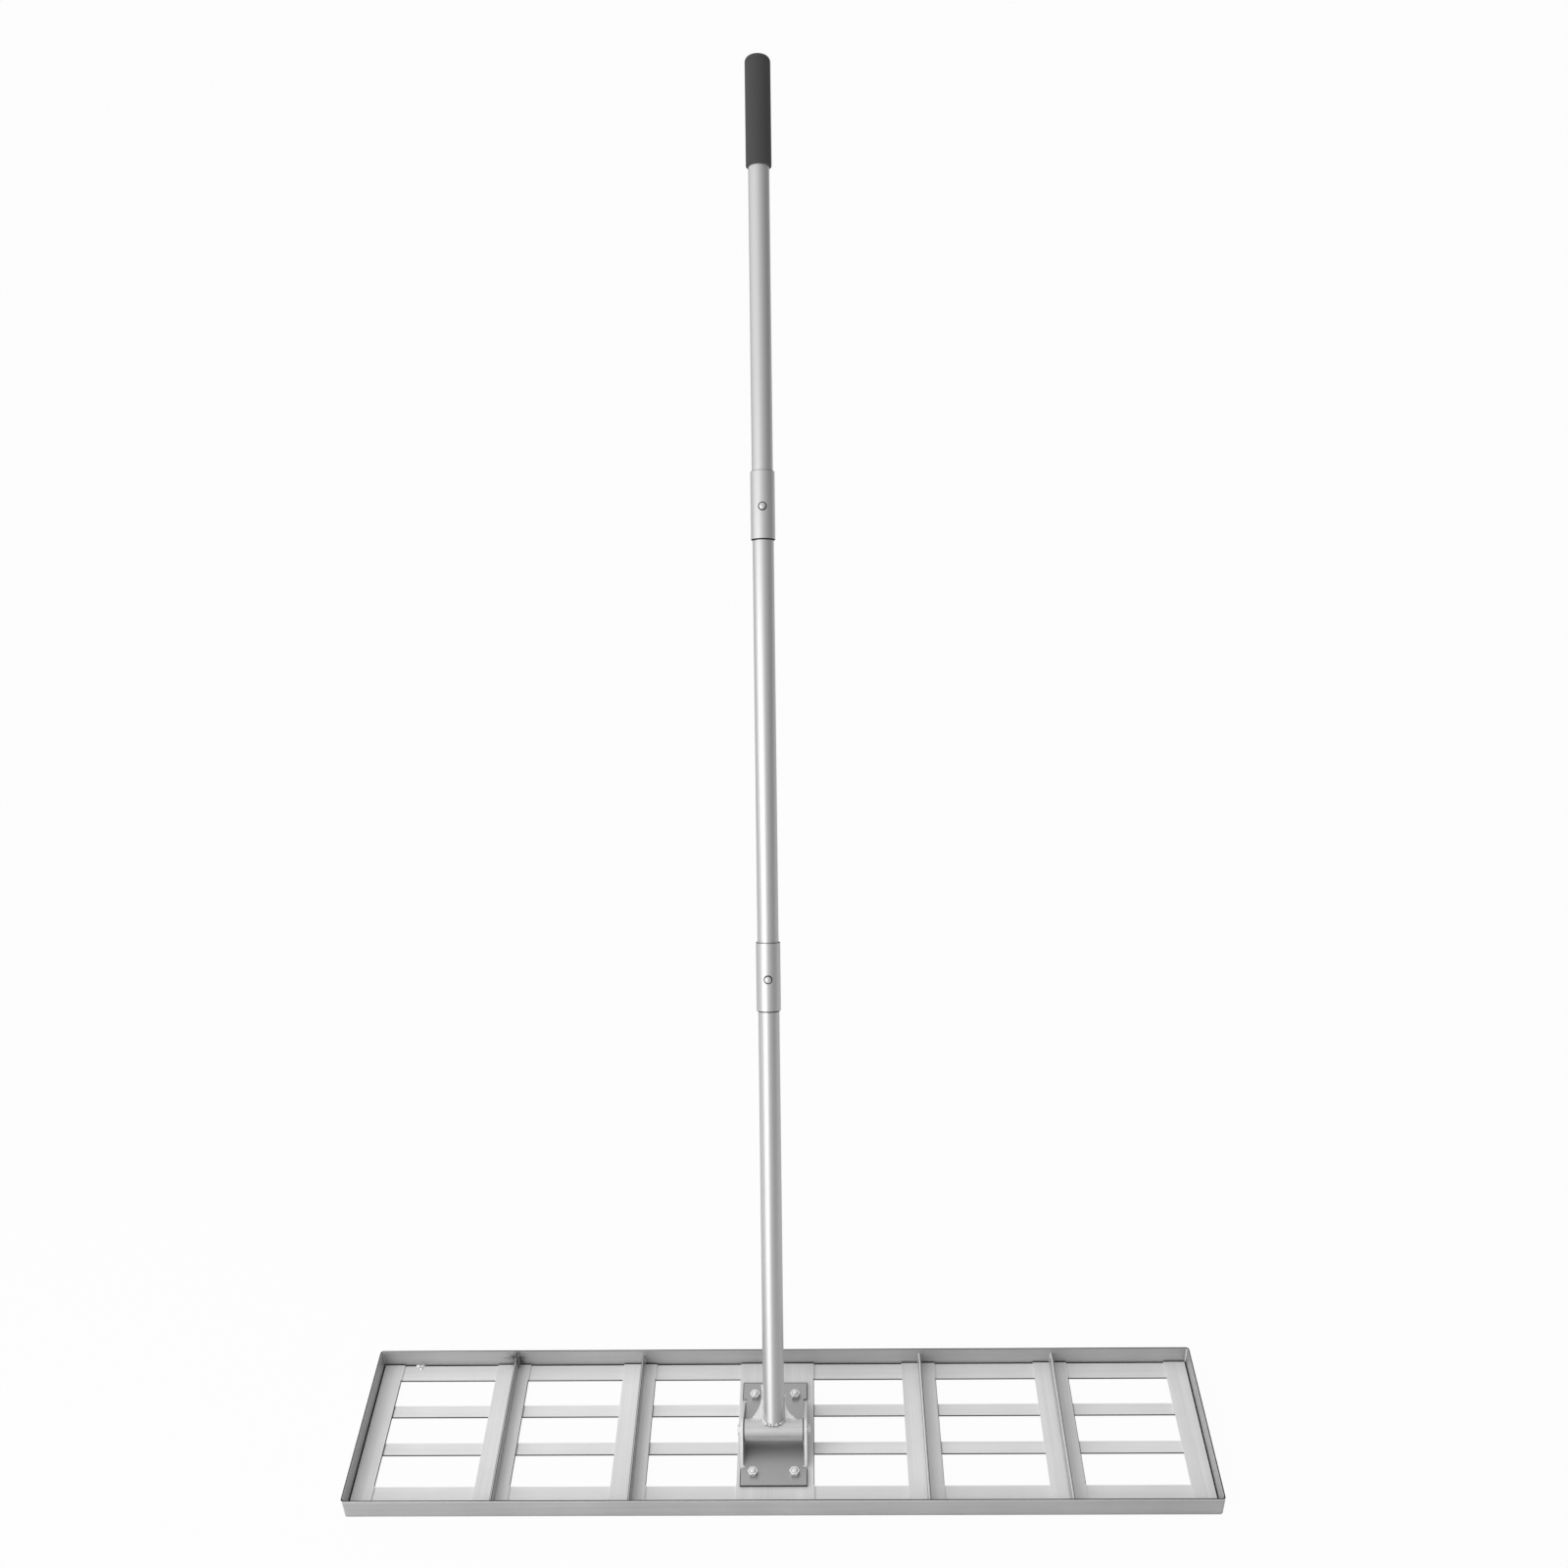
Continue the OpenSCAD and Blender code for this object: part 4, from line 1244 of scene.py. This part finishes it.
class RAKE_OT_pivot(bpy.types.Operator):
    """Models the pivot bolt, its nut and the pivot tube, and finishes the bushes"""

    bl_idname = "rake.pivot"
    bl_label = "Pivot"

    def execute(self, context):
        self.bolt()
        self.nut()
        self.tube()
        for node in BUSHES:
            dress(frame["nodes"][node], "bush_plastic")
        return {"FINISHED"}

    def bolt(self):
        """The bolt, with its head outside the left ear."""
        radius = settings().hinge.bolt
        lo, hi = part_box("pivot_bolt")
        bracket_lo, bracket_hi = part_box("hinge_bracket")
        head = bracket_lo.x - lo.x
        ear = bracket_hi.x - lo.x
        piece = hex_blank("pivot_hex_bolt", head)
        shank = [(0, head / 2), (radius, head / 2), (radius, ear), *threaded_end(ear, hi.x - lo.x)]
        combine(piece, turned("shank", shank, FASTENER_STEPS), "UNION")
        self.fasten(piece, "pivot_bolt")

    def nut(self):
        """The nut outside the right ear."""
        self.fasten(hex_nut("pivot_hex_nut", wide("pivot_nut")), "pivot_nut")

    def fasten(self, piece, node):
        """Puts a fastener in its place across the bracket and finishes it."""
        stand(piece, ACROSS_TURN, (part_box(node)[0].x, PIVOT.y, PIVOT.z))
        soften(piece, settings().hinge.fastener_edge)
        dress(piece, "worn_edge_and_highlight")
        place(piece, "plate", "bright_steel", node)

    def tube(self):
        """The tube that turns on the bolt."""
        sizes = settings().hinge
        outer = pivot_radius()
        inner = outer - sizes.tube_wall
        long = wide("pivot_tube")
        bevel = sizes.tube_bevel
        profile = [(inner, 0), (outer - bevel, 0), (outer, bevel), (outer, long - bevel),
                   (outer - bevel, long), (inner, long), (inner, 0)]
        piece = turned("pivot_cross_tube", profile)
        stand(piece, ACROSS_TURN, (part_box("pivot_tube")[0].x, PIVOT.y, PIVOT.z))
        smooth(piece)
        dress(piece, "pivot_steel")
        place(piece, "handle", "handle_steel", "pivot_tube")


# Handle


def pivot_radius():
    """Outer radius of the pivot tube."""
    lo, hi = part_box("pivot_tube")
    return (hi.z - lo.z) / 2


def pivot_bar(name):
    """A solid bar along the pivot, as thick as the pivot tube, that cuts the pieces that sit on it."""
    long = wide("pivot_tube")
    return stand(rod(name, pivot_radius(), -long, long, SEAT_STEPS), ACROSS_TURN, PIVOT)


def up_handle(point):
    """How far up the handle a point is."""
    return (point - PIVOT).dot(ALONG_HANDLE)


def off_axis(away):
    """How far a point, given from a button's middle, is from the button's axis."""
    return (away - away.dot(PUSH) * PUSH).length


def button_height(end):
    """How far up the handle a snap button is."""
    sizes = settings().handle
    return span(f"{end}_sleeve", sizes.sleeve_bevel)[0] + sizes.sleeve_below


def button_middle(end):
    """Where a snap button's axis meets the handle's middle line."""
    return PIVOT + button_height(end) * ALONG_HANDLE


def at_button(piece, end):
    """Turns a piece that was made along Z to the handle's front, and moves it to a snap button."""
    stand(piece, FORWARD_TURN, (0, 0, 0))
    return on_handle(piece, button_height(end))


def button_drill(end):
    """A tool that cuts a button's hole in the handle's front."""
    reach = 2 * span(f"{end}_sleeve")[2]
    return at_button(rod("button_drill", settings().handle.button_hole, 0, reach, FASTENER_STEPS), end)


def tube_bore():
    """Inner radius of the handle tubes."""
    return span("lower_tube")[2] - settings().handle.wall


def collar_foot():
    """How far in front of the handle's middle a button's collar lies on its leaf spring."""
    sizes = settings().handle
    reach = math.sqrt(tube_bore() ** 2 - sizes.button_collar ** 2)
    return reach - sizes.collar_gap - sizes.collar_thick


class RAKE_OT_tubes(bpy.types.Operator):
    """Models the three handle tubes"""

    bl_idname = "rake.tubes"
    bl_label = "Handle tubes"

    def execute(self, context):
        for node, end in TUBES.items():
            self.tube(node, end)
        return {"FINISHED"}

    def tube(self, node, end):
        """A tube, with a button hole near its upper end and a line of painted shade below its sleeve if it has
        them.
        """
        sizes = settings().handle
        first, last, outer = span(node)
        if node == "lower_tube":
            first = sizes.foot
        inner = outer - sizes.wall
        sleeve = span(f"{end}_sleeve", sizes.sleeve_bevel)[0] if end else last
        line = [(outer, sleeve - sizes.mouth), (outer, sleeve)] if end else []
        profile = [(inner, first), (outer, first), *line, (outer, last), (inner, last), (inner, first)]
        piece = on_handle(turned(f"{node}_length", profile))
        if node == "lower_tube":
            combine(piece, pivot_bar("saddle_cutter"), "DIFFERENCE")
        if end:
            combine(piece, button_drill(end), "DIFFERENCE")
        smooth(piece)
        dress(piece, "handle_steel", "oxide_and_gap_shade")
        # Painted shade just below the sleeve's mouth.
        if end:
            paint(piece, "oxide_and_gap_shade", lambda face: sleeve - sizes.mouth < up_handle(face.center) < sleeve)
        place(piece, "handle", "handle_steel", node)


def gussets():
    """Each gusset's node, its side of the handle and its height."""
    sizes = settings().handle
    return ("left_gusset", -1, sizes.left_height), ("right_gusset", 1, sizes.right_height)


def hollow(first, last, depth):
    """Points of an arc between two points that is hollowed towards the origin, as pairs."""
    chord = last - first
    radius = chord.length_squared / (8 * depth) + depth / 2
    inward = Vector((-chord.y, chord.x)).normalized()
    middle = (first + last) / 2 - inward * (radius - depth)
    start, stop = (math.degrees(math.atan2(point.y - middle.y, point.x - middle.x)) % 360
                   for point in (first, last))
    return arc(middle, radius, start, stop, HOLLOW_STEPS)


class RAKE_OT_gussets(bpy.types.Operator):
    """Models the two fins between the handle and the pivot tube"""

    bl_idname = "rake.gussets"
    bl_label = "Gussets"

    def execute(self, context):
        for node, side, height in gussets():
            self.fin(node, side, height)
        return {"FINISHED"}

    def fin(self, node, side, height):
        """A fin with a hollowed outer edge, fitted to both tubes."""
        sizes = settings().handle
        tube = span("lower_tube")[2]
        foot = Vector((sizes.gusset_reach, pivot_radius() + sizes.gusset_foot))
        tip = Vector((tube + sizes.gusset_tip, height))
        edge = [(side * x, y) for x, y in hollow(foot, tip, sizes.gusset_hollow)]
        outline = [(0, 0), (side * foot.x, 0), *edge, (0, height)]
        points = [Vector((x, -sizes.gusset_sheet / 2, z)) for x, z in outline]
        piece = cut_sheet(f"{node}_fin", points, Vector((0, sizes.gusset_sheet, 0)))
        on_handle(piece)
        combine(piece, pivot_bar("seat_cutter"), "DIFFERENCE")
        combine(piece, on_handle(rod("tube_cutter", tube, -height, 2 * height)), "DIFFERENCE")
        soften(piece, sizes.gusset_edge, ROLLED_SEGMENTS)
        dress(piece, "gusset_steel", "worn_edge_and_highlight")
        # The gussets' edges, rubbed bright, are also a painted highlight.
        paint(piece, "worn_edge_and_highlight", lambda face: abs(face.normal.dot(PUSH)) < SQUARE_ON)
        place(piece, "handle", "handle_steel", node)


class RAKE_OT_sleeves(bpy.types.Operator):
    """Models the two joint sleeves"""

    bl_idname = "rake.sleeves"
    bl_label = "Joint sleeves"

    def execute(self, context):
        sizes = settings().handle
        bore = sizes.sleeve_bore
        bevel = sizes.sleeve_bevel
        mouth = bore + bevel
        for end in JOINT_ENDS:
            first, last, outer = span(f"{end}_sleeve", bevel)
            profile = [(bore, first + bevel), (mouth, first), (outer - bevel, first), (outer, first + bevel),
                       (outer, last - bevel), (outer - bevel, last), (mouth, last), (bore, last - bevel),
                       (bore, first + bevel)]
            piece = on_handle(turned(f"{end}_joint_sleeve", profile))
            combine(piece, button_drill(end), "DIFFERENCE")
            soften(piece, sizes.sleeve_edge)
            dress(piece, "handle_steel", "oxide_and_gap_shade")
            button = button_middle(end)
            # Painted shade on the sleeve's ends and round its button's hole.
            paint(piece, "oxide_and_gap_shade", lambda face: abs(face.normal.dot(ALONG_HANDLE)) > TURNED)
            paint(piece, "oxide_and_gap_shade",
                  lambda face: abs(face.normal.dot(PUSH)) < SLOPING and self.in_hole(face.center - button))
            place(piece, "handle", "handle_steel", f"{end}_sleeve")
        return {"FINISHED"}

    def in_hole(self, away):
        """Whether a point, given from the button's middle, is in the button's hole or on its edge."""
        sizes = settings().handle
        return away.dot(PUSH) < 0 and off_axis(away) < sizes.button_hole + sizes.hole_ring


class RAKE_OT_buttons(bpy.types.Operator):
    """Models the two snap buttons and their leaf springs"""

    bl_idname = "rake.buttons"
    bl_label = "Snap buttons"

    def execute(self, context):
        for end in JOINT_ENDS:
            self.button(end)
            self.spring(end)
        return {"FINISHED"}

    def button(self, end):
        """A domed button with its collar, facing the handle's front."""
        sizes = settings().handle
        collar = sizes.button_collar
        top = span(f"{end}_sleeve", sizes.sleeve_bevel)[2] + sizes.button_proud
        brim = math.degrees(math.acos(sizes.button / sizes.button_dome))
        foot = collar_foot()
        shoulder = foot + sizes.collar_thick
        dome = arc((0, top - sizes.button_dome), sizes.button_dome, brim, 90, DOME_STEPS)
        profile = [(0, foot), (collar, foot), (collar, shoulder), (sizes.button, shoulder), *dome]
        piece = at_button(turned(f"{end}_button_dome", profile, FASTENER_STEPS), end)
        soften(piece, sizes.button_edge, above=BUTTON_SHARP)
        dress(piece, "bright_steel", "oxide_and_gap_shade")
        middle = button_middle(end)
        ring = sizes.button - sizes.button_ring
        # Painted shade on the outer ring of the dome, in the gap round it.
        paint(piece, "oxide_and_gap_shade", lambda face: off_axis(face.center - middle) > ring)
        place(piece, f"{end}_button", "bright_steel", f"{end}_snap_button")

    def spring(self, end):
        """The bent leaf spring that carries a button."""
        sizes = settings().handle
        node = f"{end}_button_spring"
        across = wide(node)
        half = sizes.leaf / 2
        bend = 2 * sizes.leaf
        pad = sizes.button + sizes.leaf
        front = collar_foot()
        rear = math.sqrt(tube_bore() ** 2 - (across / 2) ** 2) - sizes.leaf_gap
        path = [(half - front, pad), (half - front, -pad),
                *arc((0, bend - sizes.leaf_below), bend, 180, 360, DOME_STEPS),
                (rear - half, -pad), (rear - half, pad)]
        piece = draw(f"{end}_leaf_spring", [Vector((-across / 2, y, z)) for y, z in path])
        bpy.ops.mesh.select_all(action="SELECT")
        bpy.ops.mesh.extrude_edges_move(TRANSFORM_OT_translate={"value": (across, 0, 0)})
        tidy_mesh()
        clear()
        modify(piece, "SOLIDIFY", thickness=sizes.leaf, offset=0, use_even_offset=True)
        on_handle(piece, button_height(end))
        soften(piece, sizes.leaf_edge)
        dress(piece, "bright_steel")
        place(piece, "handle", "bright_steel", node)
        anchor = button_middle(end) + rear * PUSH
        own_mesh(piece)


class RAKE_OT_grip(bpy.types.Operator):
    """Models the soft grip"""

    bl_idname = "rake.grip"
    bl_label = "Grip"

    def execute(self, context):
        sizes = settings().handle
        last, outer = span("grip", sizes.grip_end, rounded=True)[1:]
        first = self.open_end(outer)
        bore = sizes.sleeve_bore
        end = sizes.grip_end
        rim = sizes.grip_rim
        groove = sizes.grip_groove
        collar = last - end
        cap = last - sizes.grip_end_wall
        profile = [(0, cap), (bore, cap), (bore, first + rim), (bore + rim / 2, first),
                   *arc((outer - rim, first + rim), rim, -90, 0, INNER_STEPS),
                   (outer, collar - 3 * groove), (outer - groove, collar - 2 * groove),
                   (outer - groove, collar - groove),
                   *arc((outer - end, collar), end, 0, 90, GRIP_STEPS), (0, last)]
        piece = on_handle(turned("foam_grip", profile))
        smooth(piece)
        dress(piece, "grip_foam")
        place(piece, "handle", "grip_rubber", "grip")
        return {"FINISHED"}

    def open_end(self, outer):
        """Height of the grip's open end, whose rim is rounded too."""
        rim = settings().handle.grip_rim
        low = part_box("grip")[0].z - PIVOT.z
        return (low + rim + (outer - rim) * math.sin(LEAN)) / math.cos(LEAN) - rim


# Welds


def uneven(mean, swing, beat, count):
    """A value that swings about its mean from one drop to the next."""
    return mean + swing * math.sin(beat * count)


def from_handle(spot, out):
    """The place and way of a drop on the leaning handle, from those on an upright one."""
    return PIVOT + TO_HANDLE @ spot, TO_HANDLE @ out


def bead(name, spots, radius, flat=BEAD_FLAT):
    """A weld bead: overlapping drops of metal along spots, blended into one skin."""
    drops = []
    for count, (spot, out) in enumerate(spots):
        clear()
        lump = radius * uneven(DROP, DROP_SWING, DROP_BEAT, count)
        bpy.ops.mesh.primitive_ico_sphere_add(subdivisions=3, radius=lump, location=spot,
                                              rotation=out.to_track_quat("Z", "Y").to_euler())
        bpy.context.object.scale.z = flat
        drops.append(started(name))
    piece = joined(drops)
    modify(piece, "REMESH", mode="VOXEL", voxel_size=radius / BEAD_VOXELS)
    modify(piece, "SMOOTH", factor=0.5, iterations=2)
    take(piece)
    bpy.ops.object.shade_smooth()
    dress(piece, "weld_metal")
    return piece


class RAKE_OT_welds(bpy.types.Operator):
    """Models the weld beads on the handle's foot, the gussets, the ribs and the rear border"""

    bl_idname = "rake.welds"
    bl_label = "Welds"

    def execute(self, context):
        self.handle_foot()
        self.gusset_feet()
        self.rib_ends()
        self.tack()
        return {"FINISHED"}

    def handle_foot(self):
        """The bead round the handle's foot, which also fills the wedges under its front and rear."""
        sizes = settings().handle
        radius = sizes.weld
        tube = span("lower_tube")[2]
        seat = pivot_radius()
        spots = []
        for step in range(FOOT_DROPS):
            angle = math.tau * step / FOOT_DROPS
            x = tube * math.cos(angle)
            y = tube * math.sin(angle)
            height = max(sizes.foot, math.sqrt(seat ** 2 - y ** 2))
            away = math.hypot(y, height)
            inward = (seat + away) / (2 * away)
            out = Vector((x, y, 0)).normalized() + Vector((0, y, height)).normalized()
            proud = radius * uneven(STAND, STAND_SWING, STAND_BEAT, step)
            spots.append(from_handle(Vector((x, inward * y, inward * height)) + out * proud, out))
        place(bead("handle_foot_weld", spots, radius), "handle", "handle_steel")

    def gusset_feet(self):
        """The beads along both gussets' feet and their edges on the handle."""
        sizes = settings().handle
        radius = GUSSET_BEAD * sizes.weld
        tube = span("lower_tube")[2]
        seat = pivot_radius()
        half = sizes.gusset_sheet / 2
        foot = math.sqrt(seat ** 2 - half ** 2)
        edge = math.sqrt(tube ** 2 - half ** 2)
        for node, side, height in gussets():
            spots = []
            for face in (-1, 1):
                for x in evenly(tube + radius, sizes.gusset_reach + radius, GUSSET_FOOT_DROPS):
                    spots.append(from_handle(Vector((side * x, face * half, foot)), Vector((0, face, 1))))
                for rise in evenly(seat, height - radius, GUSSET_EDGE_DROPS):
                    spot = Vector((side * edge, face * half, rise))
                    spots.append(from_handle(spot, Vector((side, face, 0))))
            place(bead(f"{node}_weld", spots, radius), "handle", "handle_steel")

    def rib_ends(self):
        """The beads where the ribs meet the rims and their straps."""
        radius = settings().plate.rib_weld
        for node in RIBS:
            lo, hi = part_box(node)
            spots = []
            for y, out in ((lo.y, 1), (hi.y, -1)):
                for x, way in ((lo.x, -1), (hi.x, 1)):
                    for z in evenly(lo.z, hi.z - radius, RIB_DROPS):
                        spots.append((Vector((x, y, z)), Vector((way, out, 0))))
            place(bead(f"{node}_weld", spots, radius), "plate", "plate_steel")

    def tack(self):
        """The tack between the rear border and its rim, near the left end."""
        sizes = settings().plate
        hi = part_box("rear_border")[1]
        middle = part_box("left_border")[1].x + sizes.tack_in
        up = Vector((0, -1, 2)).normalized()
        spots = [(Vector((middle + along * sizes.tack, hi.y - away * sizes.tack, hi.z)), up)
                 for along, away in TACK_DROPS]
        place(bead("rear_border_tack", spots, sizes.tack, TACK_FLAT), "plate", "plate_steel")


# Stage


class RAKE_OT_stage(bpy.types.Operator):
    """Sets the camera, the pale floor and the soft studio light"""

    bl_idname = "rake.stage"
    bl_label = "Stage"

    def execute(self, context):
        context.scene.view_settings.view_transform = "Standard"
        self.camera(context)
        self.floor()
        self.world(context)
        self.lamps()
        return {"FINISHED"}

    def camera(self, context):
        """The camera at the photograph's viewing angle."""
        stage = settings().stage
        clear()
        bpy.ops.object.camera_add(location=stage.eye, rotation=stage.aim)
        camera = bpy.context.object
        camera.name = "camera"
        camera.data.lens = stage.lens
        camera.data.sensor_width = SENSOR_MM
        camera.data.clip_end = FAR_CLIP
        context.scene.camera = camera

    def floor(self):
        """A wide pale floor that looks white and keeps a soft shadow."""
        stage = settings().stage
        clear()
        bpy.ops.mesh.primitive_plane_add(size=FLOOR_SIZE, location=(0, 0, -FLOOR_DROP))
        floor = started("floor")
        material, tree, shader = fresh_material("pale_floor")
        shader.inputs["Base Color"].default_value = (*stage.floor, 1)
        shader.inputs["Roughness"].default_value = stage.floor_rough
        shader.inputs["Specular IOR Level"].default_value = 0.0
        white = add_node(tree, "ShaderNodeEmission", Strength=1.0)
        path = tree.nodes.new("ShaderNodeLightPath").outputs
        seen = worked_out(tree, "MULTIPLY", path["Is Camera Ray"], stage.floor_white)
        mirrored = worked_out(tree, "ADD", path["Is Glossy Ray"], path["Is Transmission Ray"])
        both = worked_out(tree, "MULTIPLY_ADD", mirrored, stage.floor_mirrored, seen)
        mixed(tree, both, shader, white, "Material Output")
        floor.data.materials.append(material)

    def world(self, context):
        """Soft light from all round, brighter on the left and overhead, behind a white background."""
        stage = settings().stage
        world = bpy.data.worlds.new("studio")
        context.scene.world = world
        world.use_nodes = True
        tree = world.node_tree
        where = tree.nodes.new("ShaderNodeTexCoord")
        split = tree.nodes.new("ShaderNodeSeparateXYZ")
        tree.links.new(where.outputs["Generated"], split.inputs[0])
        sides = ranged(tree, split.outputs["X"], (-1, 1), (stage.left, stage.right))
        rise = ranged(tree, split.outputs["Z"], (0, FULL_LIGHT), (stage.horizon, 1))
        light = tree.nodes["Background"]
        light.inputs["Color"].default_value = WHITE
        tree.links.new(worked_out(tree, "MULTIPLY", sides, rise), light.inputs["Strength"])
        white = add_node(tree, "ShaderNodeBackground", Color=WHITE, Strength=1.0)
        path = tree.nodes.new("ShaderNodeLightPath").outputs
        mixed(tree, path["Is Camera Ray"], light, white, "World Output")

    def lamps(self):
        """A tall softbox on the front left, that draws the bright line down the handle, and a small one high
        up beyond the plate's left end."""
        stage = settings().stage
        self.softbox("key_softbox", KEY_PLACE, KEY_TARGET, (stage.key_wide, stage.key_tall), stage.key)
        self.softbox("side_softbox", SIDE_PLACE, SIDE_TARGET, (stage.side_size, stage.side_size), stage.side)

    def softbox(self, name, spot, target, size, power):
        """A soft rectangular lamp, aimed at a place."""
        clear()
        turn = (target - spot).to_track_quat("-Z", "Y").to_euler()
        bpy.ops.object.light_add(type="AREA", location=spot, rotation=turn)
        lamp = bpy.context.object
        lamp.name = name
        lamp.data.shape = "RECTANGLE"
        lamp.data.size, lamp.data.size_y = size
        lamp.data.energy = power


OPERATORS = (RAKE_OT_stage, RAKE_OT_rims, RAKE_OT_borders, RAKE_OT_slats, RAKE_OT_straps, RAKE_OT_ribs,
             RAKE_OT_bracket, RAKE_OT_bracket_fasteners, RAKE_OT_pivot, RAKE_OT_tubes, RAKE_OT_gussets,
             RAKE_OT_sleeves, RAKE_OT_buttons, RAKE_OT_grip, RAKE_OT_welds)


class RAKE_PT_panel(bpy.types.Panel):
    """Lists the rake's settings and the steps that make it"""

    bl_idname = "RAKE_PT_panel"
    bl_label = "Lawn leveling rake"
    bl_space_type = "VIEW_3D"
    bl_region_type = "UI"
    bl_category = "Rake"

    def draw(self, context):
        for group in RAKE_PG_all.__annotations__:
            box = self.layout.box()
            box.label(text=group.capitalize())
            values = getattr(context.scene.rake, group)
            for key in values.__annotations__:
                box.prop(values, key)
        for operator in OPERATORS:
            self.layout.operator(operator.bl_idname)


CLASSES = (RAKE_PG_plate, RAKE_PG_hinge, RAKE_PG_handle, RAKE_PG_finish, RAKE_PG_stage, RAKE_PG_all,
           *OPERATORS, RAKE_PT_panel)


def register():
    for kind in CLASSES:
        bpy.utils.register_class(kind)
    bpy.types.Scene.rake = PointerProperty(type=RAKE_PG_all)


def unregister():
    del bpy.types.Scene.rake
    for kind in reversed(CLASSES):
        bpy.utils.unregister_class(kind)


def main():
    """Makes every piece and the stage."""
    register()
    for operator in OPERATORS:
        group, step = operator.bl_idname.split(".")
        getattr(getattr(bpy.ops, group), step)()
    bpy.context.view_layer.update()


if __name__ == "__main__":
    main()
